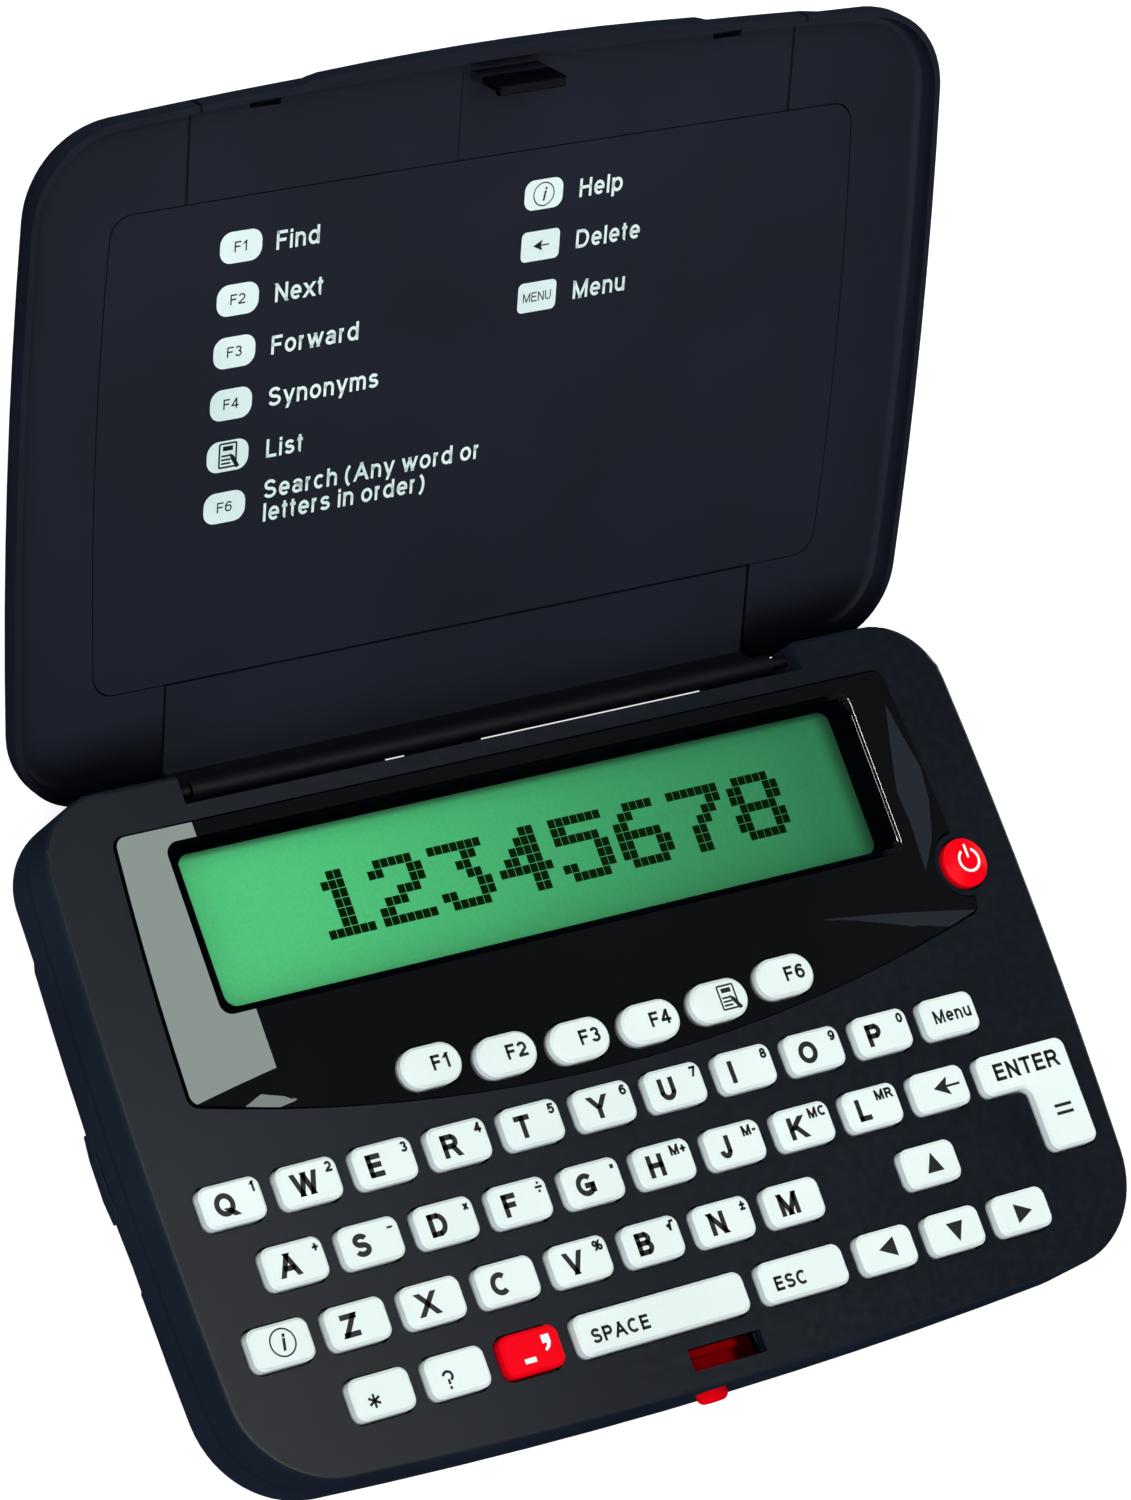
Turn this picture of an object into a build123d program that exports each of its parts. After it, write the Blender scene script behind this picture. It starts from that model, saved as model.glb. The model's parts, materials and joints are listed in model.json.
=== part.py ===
"""Pocket electronic dictionary with a clamshell lid, built as separate parts.

Frame: X to the right, Y from the user towards the hinge, Z up; millimetres.
The origin is the centre of the underside, where the device stands on a table.
The lid is drawn open, resting against its stop.
"""
import os

from build123d import *

os.makedirs("parts", exist_ok=True)

# ---- fits ----------------------------------------------------------------
fit_gap = 0.10                   # between parts that locate each other
move_gap = 0.30                  # around parts that move

# ---- keys ----------------------------------------------------------------
key_pitch = 10.4
row_pitch = 8.65
row_count = 4
key_width = 8.15
key_depth = 5.15
key_corner = 1.3
key_rise = 1.3                   # key face above the case top
key_travel = 0.8
key_edge = 0.35                  # bevel round the key face
key_tab_width = 1.0              # tabs that keep a key under the case
key_tab_thickness = 0.7
menu_column = 10
arrow_column = 9                 # column of the up and down keys
wide_key_gap = 2.35              # between the wide keys and their neighbours
escape_width = 12.4
enter_width = 13.9
enter_leg_width = 7.1
enter_step = 8.0                 # from the last column to the middle of the two-row key
function_count = 6
function_width = 8.3
function_depth = 5.05
function_pitch = 10.35
function_step = 8.45             # from the first letter row to the function keys
function_row_bow = 1.47          # outer function keys sit this far behind the middle
power_radius = 3.2
power_dome_rise = 0.7
power_surround = 1.1            # case between power key and bezel
power_step = 9.95                # from the function keys to the power key

# ---- display -------------------------------------------------------------
window_depth = 20.3
window_step = 13.9               # from the function keys to the window
window_corner = 1.6
window_side_slope = 1.5          # how far the sides slope in down to the glass
window_end_slope = 0.5           # the same at front and rear
glass_depth = 2.2                # glass below the case top
display_margin = 2.0
ridge_width = 0.7
window_collar = 1.1              # thickness of the collar down to the glass
ridge_rise = 0.35
ridge_edge = 0.3
bezel_thickness = 1.0
bezel_rise = 0.4                 # bezel above the case top
bezel_edge = 0.2
bezel_side_margin = 8.6          # side of the case to the bezel
bezel_side_band = 8.6            # bezel beside the window
bezel_side_bow = 0.35
bezel_taper = 1.7                # narrower towards the hinge
bezel_front_lip = 1.3            # bezel in front of the function keys
bezel_rear_band = 2.75           # bezel behind the window
bezel_front_bow = 7.6
bezel_corner = 1.6
crease_step = 9.25               # from the function keys to the middle of the crease
crease_bow = 5.6                 # the crease curves forward at its ends
front_fall = 0.38                # bezel falls this far from the crease to its front

# ---- case ----------------------------------------------------------------
first_column_margin = 9.3        # side of the case to the first column
enter_margin = 11.3              # middle of the two-row key to the side
front_margin = 9.95              # front of the case to the last row
rear_strip = 2.15                # case between bezel and hinge notch
case_height = 12.0
case_split_height = 6.2          # upper and lower case meet here
side_bow = 1.4                   # how far the sides bulge past the corners
front_bow = 2.6                  # how far the front edge bulges
front_corner_radius = 13.0
rear_corner_radius = 9.5
top_edge_radius = 0.55
bottom_edge_radius = 2.2
wall = 1.8
top_skin = 1.6
floor_skin = 1.8
split_bevel = 0.35               # V groove on the joint line
lip_height = 1.2                 # locating lip of the upper case
lip_wall = 0.8

# ---- hinge ---------------------------------------------------------------
hinge_setback = 2.3              # hinge axis behind the notch wall
hinge_margin = 1.45              # hinge axis to the rear of the case
hinge_drop = 3.3                 # hinge axis below the case top
hinge_open_angle = 137.0
notch_side = 21.2                # notch wall to the side of the case
notch_floor_drop = 5.3           # notch floor below the hinge axis
notch_floor_reach = 1.85         # openings in the notch floor behind the notch wall
floor_openings = ((-12.0, -7.5), (2.0, 37.0))
barrel_radius = 1.3
pin_radius = 0.75
pin_clearance = 0.05
pin_reach = 2.6                  # pin length inside the case wall
hinge_cheek = 4.2                # solid round each pin bore
leaf_side_gap = 2.7              # hinge leaf to the notch wall
web_setback = 0.35               # web of the leaf behind the hinge axis
leaf_round = 0.8

# ---- lid -----------------------------------------------------------------
lid_gap = 0.15                   # between closed lid and case
lid_height = 5.4
lid_inset = 1.4
lid_rear_inset = 0.55
lid_front_inset = 0.2
lid_front_corner = 12.0
lid_rear_corner = 10.0
lid_edge_radius = 3.9
lid_skin = 1.5
lid_rim = 0.8
lid_recess = 2.4                 # rim edge to inner face
recess_radius = 1.6
panel_thickness = 1.35
panel_gap = 0.15
panel_side_margin = 13.0         # side of the case to the panel
panel_front_margin = 14.0
panel_hinge_margin = 11.55       # panel to the hinge axis
panel_side_bow = 1.0
panel_front_bow = 0.3
panel_corner = 3.0
leaf_pocket_gap = 0.3
finger_lip_half_width = 26.5
finger_lip_ramp = 3.5            # sloped ends of the finger lip
finger_lip_reach = 0.35
finger_lip_bow = 0.8             # the lip bulges this far in its middle
finger_lip_height = 1.6
snap_slot_x = 32.5
snap_slot_margin = 3.1           # front of the case to the snap slots
snap_slot_length = 4.2
snap_slot_width = 0.8
hook_groove_x = -5.55            # fine groove beside the hook
hook_groove_size = 0.15

# ---- latch ---------------------------------------------------------------
latch_x = 0.35
slot_half_width = 5.3
slot_margin = 2.35               # front of the case to the slot
slot_depth = 2.8
slider_half_width = 5.6
slider_top_gap = 0.9             # bar behind the hook pocket below the top skin
slider_bar_rise = 0.9            # that bar above the frame of the slider
slider_frame_height = 1.9
slider_rail = 0.8                # width of the ribs it slides on
slider_front_wall = 0.3
slider_depth = 4.6
slider_travel = 0.6
button_x = -1.5
button_half_width = 2.1
button_height = 2.8
button_drop = 0.3                # middle of the button below the frame's top
button_reach = 1.3
button_round = 0.85
hook_half_width = 4.7
hook_thickness = 0.9
hook_barb = 0.4
hook_reach = 3.7                 # hook tip below the closed rim
hook_clearance = 0.1             # barb passes the slider with this to spare
spring_thickness = 0.25
spring_height = 1.9
spring_bow = 1.6
spring_half_width = 6.0
spring_post_radius = 0.8

# ---- electronics ---------------------------------------------------------
board_edge_gap = 0.6
board_rear_gap = 1.25            # board to the notch lining
board_thickness = 1.2
board_bottom_z = 4.9
post_radius = 1.6
mat_thickness = 0.5
mat_margin = 2.2
mat_rear_reach = 6.15            # mat behind the function keys
dome_clearance = 0.05
dome_radius = 1.7
dome_taper = 12.0
cell_radius = 10.0
cell_thickness = 3.2
cell_x = 11.4
cell_setback = 6.2               # cells in front of the middle of the window
cover_half_width = 24.5
cover_half_depth = 12.5
cover_thickness = 1.3
cover_corner = 2.0
cover_ledge = 1.2
contact_radius = 3.5
chip_x = -34.0
chip_size = 12.0
chip_height = 1.4
lcd_edge = 0.45
hook_edge = 0.15
screw_radius = 1.1
screw_head_radius = 2.0
screw_head_height = 1.3
screw_head_z = 0.5
screw_length = 6.0               # below the head
cross_width = 0.45               # cross recess in the head
boss_radius = 2.7
front_screw_side = 9.3           # side of the case to the front screws
front_screw_margin = 9.5
middle_screw_side = 5.3
rear_screw_side = 10.3
rear_screw_margin = 6.6
rear_post_step = 5.0             # rear posts behind the middle of the window
grip_length = 11.0
grip_ramp = 3.0                  # sloped ends of the grip pads
grip_edge = 0.2
grip_rise = 0.3
grip_bottom_z = 0.9
grip_top_z = 2.8

# ---- places that follow, from the front to the rear -----------------------
key_rows_depth = (row_count - 1) * row_pitch
window_zone = function_step + window_step + window_depth + bezel_rear_band
hinge_zone = rear_strip + hinge_setback + hinge_margin
case_depth = front_margin + key_rows_depth + window_zone + hinge_zone
front_y = -case_depth / 2
rear_y = case_depth / 2
last_row_y = front_y + front_margin
first_row_y = last_row_y + key_rows_depth
function_row_y = first_row_y + function_step
bezel_front_y = function_row_y - function_depth / 2 - bezel_front_lip
power_y = function_row_y + power_step
window_front_y = function_row_y + window_step
window_y = window_front_y + window_depth / 2
bezel_rear_y = window_y + window_depth / 2 + bezel_rear_band
notch_front_y = bezel_rear_y + rear_strip
hinge_y = notch_front_y + hinge_setback
cell_y = window_y - cell_setback
mat_rear_y = function_row_y + mat_rear_reach
board_rear_y = notch_front_y - wall - board_rear_gap
panel_front_y = front_y + panel_front_margin
panel_rear_y = hinge_y - panel_hinge_margin
leaf_front_y = panel_rear_y + 2 * panel_gap
web_front_y = hinge_y + web_setback
web_rear_y = hinge_y + barrel_radius
slot_front_y = front_y + slot_margin
slot_rear_y = slot_front_y + slot_depth
slider_front_y = front_y + wall + fit_gap
slider_rear_y = slider_front_y + slider_depth
hook_front_y = slider_front_y + slider_front_wall + slider_travel + hook_clearance
spring_end_y = slider_rear_y + spring_bow
spring_post_y = spring_end_y + spring_thickness + spring_post_radius
spring_bay_rear_y = spring_end_y + 3 * spring_post_radius
crease_y = function_row_y + crease_step
grip_y = function_row_y

# ---- places that follow, from side to side --------------------------------
columns_width = menu_column * key_pitch
case_width = first_column_margin + columns_width + enter_step + enter_margin
case_half_width = case_width / 2
first_column_x = first_column_margin - case_half_width
enter_x = case_half_width - enter_margin
dash_x = first_column_x + 3 * key_pitch
left_key_x = first_column_x + (arrow_column - 1) * key_pitch
space_left = dash_x + key_width / 2 + wide_key_gap
escape_right = left_key_x - key_width / 2 - wide_key_gap
escape_x = escape_right - escape_width / 2
space_width = escape_right - escape_width - wide_key_gap - space_left
space_x = space_left + space_width / 2
bezel_half_width = case_half_width - bezel_side_margin
window_width = 2 * (bezel_half_width - bezel_side_band)
power_x = bezel_half_width + fit_gap
notch_half_width = case_half_width - notch_side
leaf_half_width = notch_half_width - leaf_side_gap
panel_half_width = case_half_width - panel_side_margin

# ---- heights that follow ---------------------------------------------------
glass_z = case_height - glass_depth
bezel_top_z = case_height + bezel_rise
ridge_top_z = bezel_top_z + ridge_rise
board_top_z = board_bottom_z + board_thickness
skin_bottom_z = case_height - top_skin
key_bottom_z = skin_bottom_z - fit_gap - key_tab_thickness
key_height = case_height + key_rise - key_bottom_z
mat_top_z = board_top_z + mat_thickness
dome_top_z = key_bottom_z - key_travel - dome_clearance
hinge_z = case_height - hinge_drop
notch_floor_z = hinge_z - notch_floor_drop
lid_bottom_z = case_height + lid_gap
panel_bottom_z = lid_bottom_z + lid_recess
pocket_top_z = panel_bottom_z + panel_thickness
slider_bar_z = skin_bottom_z - slider_top_gap
slider_frame_z = slider_bar_z - slider_bar_rise
slider_bottom_z = slider_frame_z - slider_frame_height
button_middle_z = slider_frame_z - button_drop
hook_tip_z = lid_bottom_z - hook_reach
screw_top_z = screw_head_z + screw_head_height + screw_length
cell_top_z = cover_thickness + cell_thickness
hinge_axis = Axis((0, hinge_y, hinge_z), (1, 0, 0))

# ---- places of what repeats -------------------------------------------------
screw_places = []
post_places = []
for side in (-1, 1):
    front_screw_x = case_half_width - front_screw_side
    middle_screw_x = case_half_width - middle_screw_side
    rear_screw_x = case_half_width - rear_screw_side
    screw_places.append((side * front_screw_x, front_y + front_screw_margin))
    screw_places.append((side * middle_screw_x, function_row_y))
    screw_places.append((side * rear_screw_x, rear_y - rear_screw_margin))
    for post_y in (last_row_y + 1.5 * row_pitch, mat_rear_y, window_y + rear_post_step):
        post_places.append((side * 4 * key_pitch, post_y))


def plate(outline, bottom, height):
    """Solid of a flat outline between two heights."""
    return extrude(Pos(0, 0, bottom) * outline, height)


def bowed_outline(half_width, front, rear, bow_side, bow_front, front_radius, rear_radius):
    """Outline with bulging sides and front, and rounded corners."""
    corner_x = half_width - bow_side
    front_corner_y = front + bow_front
    middle_y = (front + rear) / 2
    with BuildSketch() as sketch:
        with BuildLine():
            ThreePointArc((-corner_x, front_corner_y), (0, front), (corner_x, front_corner_y))
            ThreePointArc((corner_x, front_corner_y), (half_width, middle_y), (corner_x, rear))
            Line((corner_x, rear), (-corner_x, rear))
            ThreePointArc((-corner_x, rear), (-half_width, middle_y), (-corner_x, front_corner_y))
        make_face()
        fillet(sketch.vertices().group_by(Axis.Y)[0], front_radius)
        fillet(sketch.vertices().group_by(Axis.Y)[-1], rear_radius)
    return sketch.sketch


def case_outline(inset):
    """Case outline moved inwards by an inset."""
    return bowed_outline(
        case_half_width - inset,
        front_y + inset,
        rear_y - inset,
        side_bow,
        front_bow,
        front_corner_radius - inset,
        rear_corner_radius - inset,
    )


def lid_outline(inset):
    """Lid outline moved inwards by an inset."""
    return bowed_outline(
        case_half_width - lid_inset - inset,
        front_y + lid_front_inset + inset,
        rear_y - lid_rear_inset - inset,
        side_bow,
        front_bow,
        lid_front_corner - inset,
        lid_rear_corner - inset,
    )


def key_outline(width, depth, corner):
    """Rounded rectangle of a key face."""
    return RectangleRounded(width, depth, corner)


def enter_outline(grow):
    """L-shaped face of the two-row key."""
    top_row = Pos(0, 0) * Rectangle(enter_width, key_depth)
    leg_x = (enter_width - enter_leg_width) / 2
    leg = Pos(leg_x, -row_pitch / 2) * Rectangle(enter_leg_width, key_depth + row_pitch)
    corners = fillet((top_row + leg).vertices(), key_corner)
    if grow:
        return offset(corners, grow)
    return corners


def function_outline(grow):
    """Oval face of a function key."""
    return SlotOverall(function_width + 2 * grow, function_depth + 2 * grow)


def bezel_outline(grow):
    """Outline of the glossy bezel, bowed at front and sides, notched for the power key."""
    rear_x = bezel_half_width - bezel_taper + grow
    front_x = bezel_half_width + grow
    front_corner_y = bezel_front_y + bezel_front_bow - grow
    rear = bezel_rear_y + grow
    middle_x = (front_x + rear_x) / 2 + bezel_side_bow
    middle_y = (front_corner_y + rear) / 2
    with BuildSketch() as sketch:
        with BuildLine():
            ThreePointArc((-front_x, front_corner_y), (-middle_x, middle_y), (-rear_x, rear))
            Line((-rear_x, rear), (rear_x, rear))
            ThreePointArc((rear_x, rear), (middle_x, middle_y), (front_x, front_corner_y))
            ThreePointArc(
                (front_x, front_corner_y), (0, bezel_front_y - grow), (-front_x, front_corner_y)
            )
        make_face()
        fillet(sketch.vertices(), bezel_corner)
        with Locations((power_x, power_y)):
            Circle(power_radius + power_surround - grow, mode=Mode.SUBTRACT)
    return sketch.sketch


def window_outline(grow_side, grow_end):
    """Opening over the display, grown at its sides and at its front and rear."""
    size_x = window_width + 2 * grow_side
    size_y = window_depth + 2 * grow_end
    return Pos(0, window_y) * RectangleRounded(size_x, size_y, window_corner)


def key_layout():
    """Name, centre and face width of every key made as a rounded rectangle."""
    rows = [
        ["q", "w", "e", "r", "t", "y", "u", "i", "o", "p", "menu"],
        ["a", "s", "d", "f", "g", "h", "j", "k", "l", "back"],
        ["info", "z", "x", "c", "v", "b", "n", "m"],
    ]
    places = []
    for row, names in enumerate(rows):
        shift = key_pitch / 2 if row == 1 else 0
        for column, name in enumerate(names):
            x = first_column_x + shift + column * key_pitch
            places.append((name, x, first_row_y - row * row_pitch, key_width))
    for column, name in [(1, "star"), (2, "question"), (3, "dash"), (8, "left"), (9, "down")]:
        places.append((name, first_column_x + column * key_pitch, last_row_y, key_width))
    places.append(("right", first_column_x + menu_column * key_pitch, last_row_y, key_width))
    up_x = first_column_x + arrow_column * key_pitch
    places.append(("up", up_x, first_row_y - 2 * row_pitch, key_width))
    places.append(("space", space_x, last_row_y, space_width))
    places.append(("escape", escape_x, last_row_y, escape_width))
    return places


def function_places():
    """Centre of each function key, on their shallow arc."""
    places = []
    half_count = (function_count - 1) / 2
    for number in range(function_count):
        share = (number - half_count) / half_count
        x = half_count * share * function_pitch
        places.append((x, function_row_y + function_row_bow * share**2))
    return places


def key_tab(x, y):
    """Small tab under the case skin that keeps a key from coming out."""
    return plate(Pos(x, y) * Rectangle(2 * key_tab_width, key_depth / 2), key_bottom_z, key_tab_thickness)


def bevelled_cap(outline, height):
    """Key cap with a bevel round its face."""
    cap = plate(outline, key_bottom_z, height)
    return chamfer(cap.edges().group_by(Axis.Z)[-1], key_edge)


def rectangular_key(x, y, width):
    """Key cap with a tab at each side."""
    cap = bevelled_cap(Pos(x, y) * key_outline(width, key_depth, key_corner), key_height)
    reach = width / 2
    return cap + key_tab(x - reach, y) + key_tab(x + reach, y)


def enter_key():
    """Two-row key with its tabs."""
    cap = bevelled_cap(Pos(enter_x, first_row_y - row_pitch) * enter_outline(0), key_height)
    left_x = enter_x - enter_width / 2
    right_x = enter_x + enter_width / 2
    low_y = first_row_y - 2 * row_pitch
    return cap + key_tab(left_x, first_row_y - row_pitch) + key_tab(right_x, low_y)


def function_key(x, y):
    """Oval key with its tabs, standing through bezel and case."""
    cap = bevelled_cap(Pos(x, y) * function_outline(0), key_height)
    reach = function_width / 2
    return cap + key_tab(x - reach, y) + key_tab(x + reach, y)


def power_key():
    """Round domed key."""
    rim_height = key_height - power_dome_rise
    cap = plate(Pos(power_x, power_y) * Circle(power_radius), key_bottom_z, rim_height)
    sphere_radius = (power_radius**2 + power_dome_rise**2) / (2 * power_dome_rise)
    dome = Pos(power_x, power_y, case_height + key_rise - sphere_radius) * Sphere(sphere_radius)
    column = plate(Pos(power_x, power_y) * Circle(power_radius), key_bottom_z, key_height)
    tabs = key_tab(power_x - power_radius, power_y) + key_tab(power_x + power_radius, power_y)
    return cap + (dome & column) + tabs


def key_openings(grow, bottom, height):
    """Holes for all keys, grown by a clearance."""
    holes = []
    for name, x, y, width in key_layout():
        outline = key_outline(width + 2 * grow, key_depth + 2 * grow, key_corner + grow)
        holes.append(plate(Pos(x, y) * outline, bottom, height))
    enter_place = Pos(enter_x, first_row_y - row_pitch)
    holes.append(plate(enter_place * enter_outline(grow), bottom, height))
    for x, y in function_places():
        holes.append(plate(Pos(x, y) * function_outline(grow), bottom, height))
    power_hole = Circle(power_radius + grow)
    holes.append(plate(Pos(power_x, power_y) * power_hole, bottom, height))
    return holes


def on_screws(outline, bottom, top):
    """The same upright solid on every screw axis."""
    solids = []
    for x, y in screw_places:
        solids.append(plate(Pos(x, y) * outline, bottom, top - bottom))
    return solids


def box_between(x_low, x_high, y_low, y_high, z_low, z_high):
    """Box from its limits."""
    size = Box(x_high - x_low, y_high - y_low, z_high - z_low)
    return Pos((x_low + x_high) / 2, (y_low + y_high) / 2, (z_low + z_high) / 2) * size


def hinge_notch():
    """Room for the lid's hinge leaf in the rear of the case, with two openings in its floor."""
    half = notch_half_width
    opening_front = notch_front_y + notch_floor_reach
    room = box_between(-half, half, notch_front_y, rear_y + wall, notch_floor_z, case_height)
    for left, right in floor_openings:
        room += box_between(left, right, opening_front, rear_y + wall, 0, notch_floor_z)
    return room


def notch_lining(bottom, top):
    """Walls and hinge cheeks that close the case round the notch."""
    reach = notch_half_width + hinge_cheek
    block = box_between(-reach, reach, notch_front_y - wall, rear_y - wall / 2, bottom, top)
    return block


def pin_bores():
    """Blind bores for the lid's hinge pins."""
    length = 2 * (notch_half_width + pin_reach + fit_gap)
    return Pos(0, hinge_y, hinge_z) * Rot(0, 90, 0) * Cylinder(pin_radius + pin_clearance, length)


def button_outline(grow):
    """Oval section of the latch button, seen from the front."""
    face = Ellipse(button_half_width + grow, button_height / 2 + grow)
    return Pos(button_x, front_y, button_middle_z) * Rot(90, 0, 0) * face


def button_opening():
    """Hole for the latch button through the front wall of the case."""
    return extrude(button_outline(move_gap), wall + front_bow, both=True)


def lip_ring(outer_inset, bottom, top):
    """Ring just inside the case wall, for the locating lip and its groove."""
    ring = plate(case_outline(outer_inset), bottom, top - bottom)
    return ring - plate(case_outline(wall), bottom, top - bottom)


def upper_case():
    """Top half of the case with all its openings."""
    body = plate(case_outline(0), case_split_height, case_height - case_split_height)
    body = fillet(body.edges().group_by(Axis.Z)[-1], top_edge_radius)
    body = chamfer(body.edges().group_by(Axis.Z)[0], split_bevel)
    body -= plate(case_outline(wall), case_split_height, skin_bottom_z - case_split_height)
    body += lip_ring(wall - lip_wall, case_split_height - lip_height, case_split_height + wall)
    body += notch_lining(case_split_height, skin_bottom_z)
    body += on_screws(Circle(boss_radius), case_split_height, skin_bottom_z)
    cuts = key_openings(move_gap, skin_bottom_z, top_skin)
    cuts.append(plate(bezel_outline(fit_gap), case_height - bezel_thickness, bezel_thickness))
    collar_hole = window_outline(window_collar + fit_gap, window_collar + fit_gap)
    cuts.append(plate(collar_hole, skin_bottom_z, top_skin))
    slot_left = latch_x - slot_half_width
    slot_right = latch_x + slot_half_width
    cuts.append(box_between(slot_left, slot_right, slot_front_y, slot_rear_y, skin_bottom_z, case_height))
    cuts.append(button_opening())
    cuts.append(hinge_notch())
    cuts.append(pin_bores())
    body -= cuts
    body -= on_screws(Circle(screw_radius), case_split_height, screw_top_z + fit_gap)
    return body


def side_grip(side):
    """Low pad with sloped ends on the side of the lower case."""
    inner_x = side * (case_half_width - wall)
    side_x = side * case_half_width
    outer_x = side * (case_half_width + grip_rise)
    half = grip_length / 2
    with BuildSketch() as sketch:
        with BuildLine():
            Polyline(
                (inner_x, grip_y - half),
                (side_x, grip_y - half),
                (outer_x, grip_y - half + grip_ramp),
                (outer_x, grip_y + half - grip_ramp),
                (side_x, grip_y + half),
                (inner_x, grip_y + half),
                close=True,
            )
        make_face()
    pad = plate(sketch.sketch, grip_bottom_z, grip_top_z - grip_bottom_z)
    outer_face = pad.faces().sort_by(Axis.X)[-1 if side > 0 else 0]
    return fillet(outer_face.edges(), grip_edge)


def latch_bay(bottom, top):
    """Room for the latch slider and its spring."""
    reach = spring_half_width + 2 * spring_post_radius + move_gap
    return box_between(latch_x - reach, latch_x + reach, front_y, spring_bay_rear_y, bottom, top)


def spring_posts():
    """Two posts that hold the ends of the latch spring."""
    posts = []
    post_top = slider_bottom_z + spring_height
    for side in (-1, 1):
        place = Pos(latch_x + side * spring_half_width, spring_post_y)
        posts.append(plate(place * Circle(spring_post_radius), floor_skin, post_top - floor_skin))
    return posts


def slider_rails():
    """Two ribs under the latch slider."""
    rails = []
    rail_rear = slider_rear_y + slider_travel
    for side in (-1, 1):
        middle_x = latch_x + side * (slider_half_width - slider_rail)
        low_x = middle_x - slider_rail / 2
        high_x = middle_x + slider_rail / 2
        rails.append(box_between(low_x, high_x, slider_front_y, rail_rear, floor_skin, slider_bottom_z))
    return rails


def cover_outline(grow):
    """Outline of the battery cover."""
    size_x = 2 * (cover_half_width + grow)
    size_y = 2 * (cover_half_depth + grow)
    return Pos(0, cell_y) * RectangleRounded(size_x, size_y, cover_corner + grow)


def lower_case():
    """Bottom half of the case with posts, battery bay and cover seat."""
    body = plate(case_outline(0), 0, case_split_height)
    body = fillet(body.edges().group_by(Axis.Z)[0], bottom_edge_radius)
    body = chamfer(body.edges().group_by(Axis.Z)[-1], split_bevel)
    body += side_grip(-1) + side_grip(1)
    body -= plate(case_outline(wall), floor_skin, case_split_height)
    body += notch_lining(floor_skin, case_split_height)
    groove_bottom = case_split_height - lip_height - fit_gap
    body -= lip_ring(wall - lip_wall - fit_gap, groove_bottom, case_split_height)
    body += on_screws(Circle(boss_radius), floor_skin, case_split_height)
    for x, y in post_places:
        body += plate(Pos(x, y) * Circle(post_radius), floor_skin, board_bottom_z - floor_skin)
    bay_height = board_bottom_z - fit_gap - floor_skin
    body += plate(cover_outline(0) - cover_outline(-cover_ledge), floor_skin, bay_height)
    body += slider_rails()
    body += spring_posts()
    cuts = [hinge_notch(), button_opening()]
    cuts.append(plate(cover_outline(fit_gap), 0, cover_thickness))
    cuts.append(plate(cover_outline(-cover_ledge), 0, floor_skin))
    cuts += on_screws(Circle(screw_head_radius + fit_gap), 0, screw_head_z + screw_head_height)
    cuts += on_screws(Circle(screw_radius + fit_gap), 0, case_split_height)
    body -= cuts
    return body


def battery_cover():
    """Flush cover of the battery bay with a finger groove and a coin slot."""
    body = plate(cover_outline(0), 0, cover_thickness)
    groove_y = cell_y - cover_half_depth + 3 * wall
    groove = Pos(0, groove_y) * SlotOverall(cover_half_width, wall)
    return body - plate(groove, 0, cover_thickness / 2)


def coin_cells():
    """Two button cells side by side."""
    cells = []
    for side in (-1, 1):
        rim = plate(Pos(side * cell_x, cell_y) * Circle(cell_radius), cover_thickness, cell_thickness)
        cells.append(rim)
    return Compound(children=cells)


def circuit_board():
    """Board with its controller, contacts for the cells and clearance for the posts."""
    outline = case_outline(wall + board_edge_gap)
    body = plate(outline, board_bottom_z, board_thickness)
    half = case_half_width
    body -= box_between(-half, half, board_rear_y, rear_y, board_bottom_z, board_top_z)
    cuts = on_screws(Circle(boss_radius + fit_gap), board_bottom_z, board_top_z)
    cuts.append(latch_bay(board_bottom_z, board_top_z))
    body -= cuts
    for side in (-1, 1):
        contact = Pos(side * cell_x, cell_y) * Circle(contact_radius)
        body += plate(contact, cell_top_z, board_bottom_z - cell_top_z)
    chip = Pos(chip_x, cell_y) * Rectangle(chip_size, chip_size)
    body += plate(chip, board_bottom_z - chip_height, chip_height)
    return body


def lcd_module():
    """Display glass in its holder, standing on the board."""
    size_x = window_width + 2 * display_margin
    size_y = window_depth + 2 * display_margin
    body = plate(Pos(0, window_y) * Rectangle(size_x, size_y), board_top_z, glass_z - board_top_z)
    return chamfer(body.edges().group_by(Axis.Z)[-1], lcd_edge)


def dome_places():
    """Where a rubber dome stands under each key."""
    places = []
    for name, x, y, width in key_layout():
        reach = width / 4 if name == "space" else 0
        places.append((x - reach, y))
    places.append((enter_x, first_row_y - row_pitch))
    places += function_places()
    places.append((power_x, power_y))
    return places


def dome_mat():
    """Rubber sheet with one dome for every key, pressed clear of the keys."""
    outline = case_outline(wall + mat_margin)
    body = plate(outline, board_top_z, mat_thickness)
    half = case_half_width
    body -= box_between(-half, half, mat_rear_y, rear_y, board_top_z, mat_top_z)
    ear_left = power_x - dome_radius - mat_margin
    ear_right = power_x + dome_radius + mat_margin
    ear_rear = power_y + dome_radius + mat_margin
    body += box_between(ear_left, ear_right, mat_rear_y - wall, ear_rear, board_top_z, mat_top_z)
    cuts = on_screws(Circle(boss_radius + move_gap), board_top_z, mat_top_z)
    cuts.append(latch_bay(board_top_z, mat_top_z))
    body -= cuts
    domes = []
    for x, y in dome_places():
        foot = Pos(x, y, mat_top_z) * RegularPolygon(dome_radius, 8)
        domes.append(extrude(foot, dome_top_z - mat_top_z, taper=dome_taper))
    return body + domes


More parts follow.
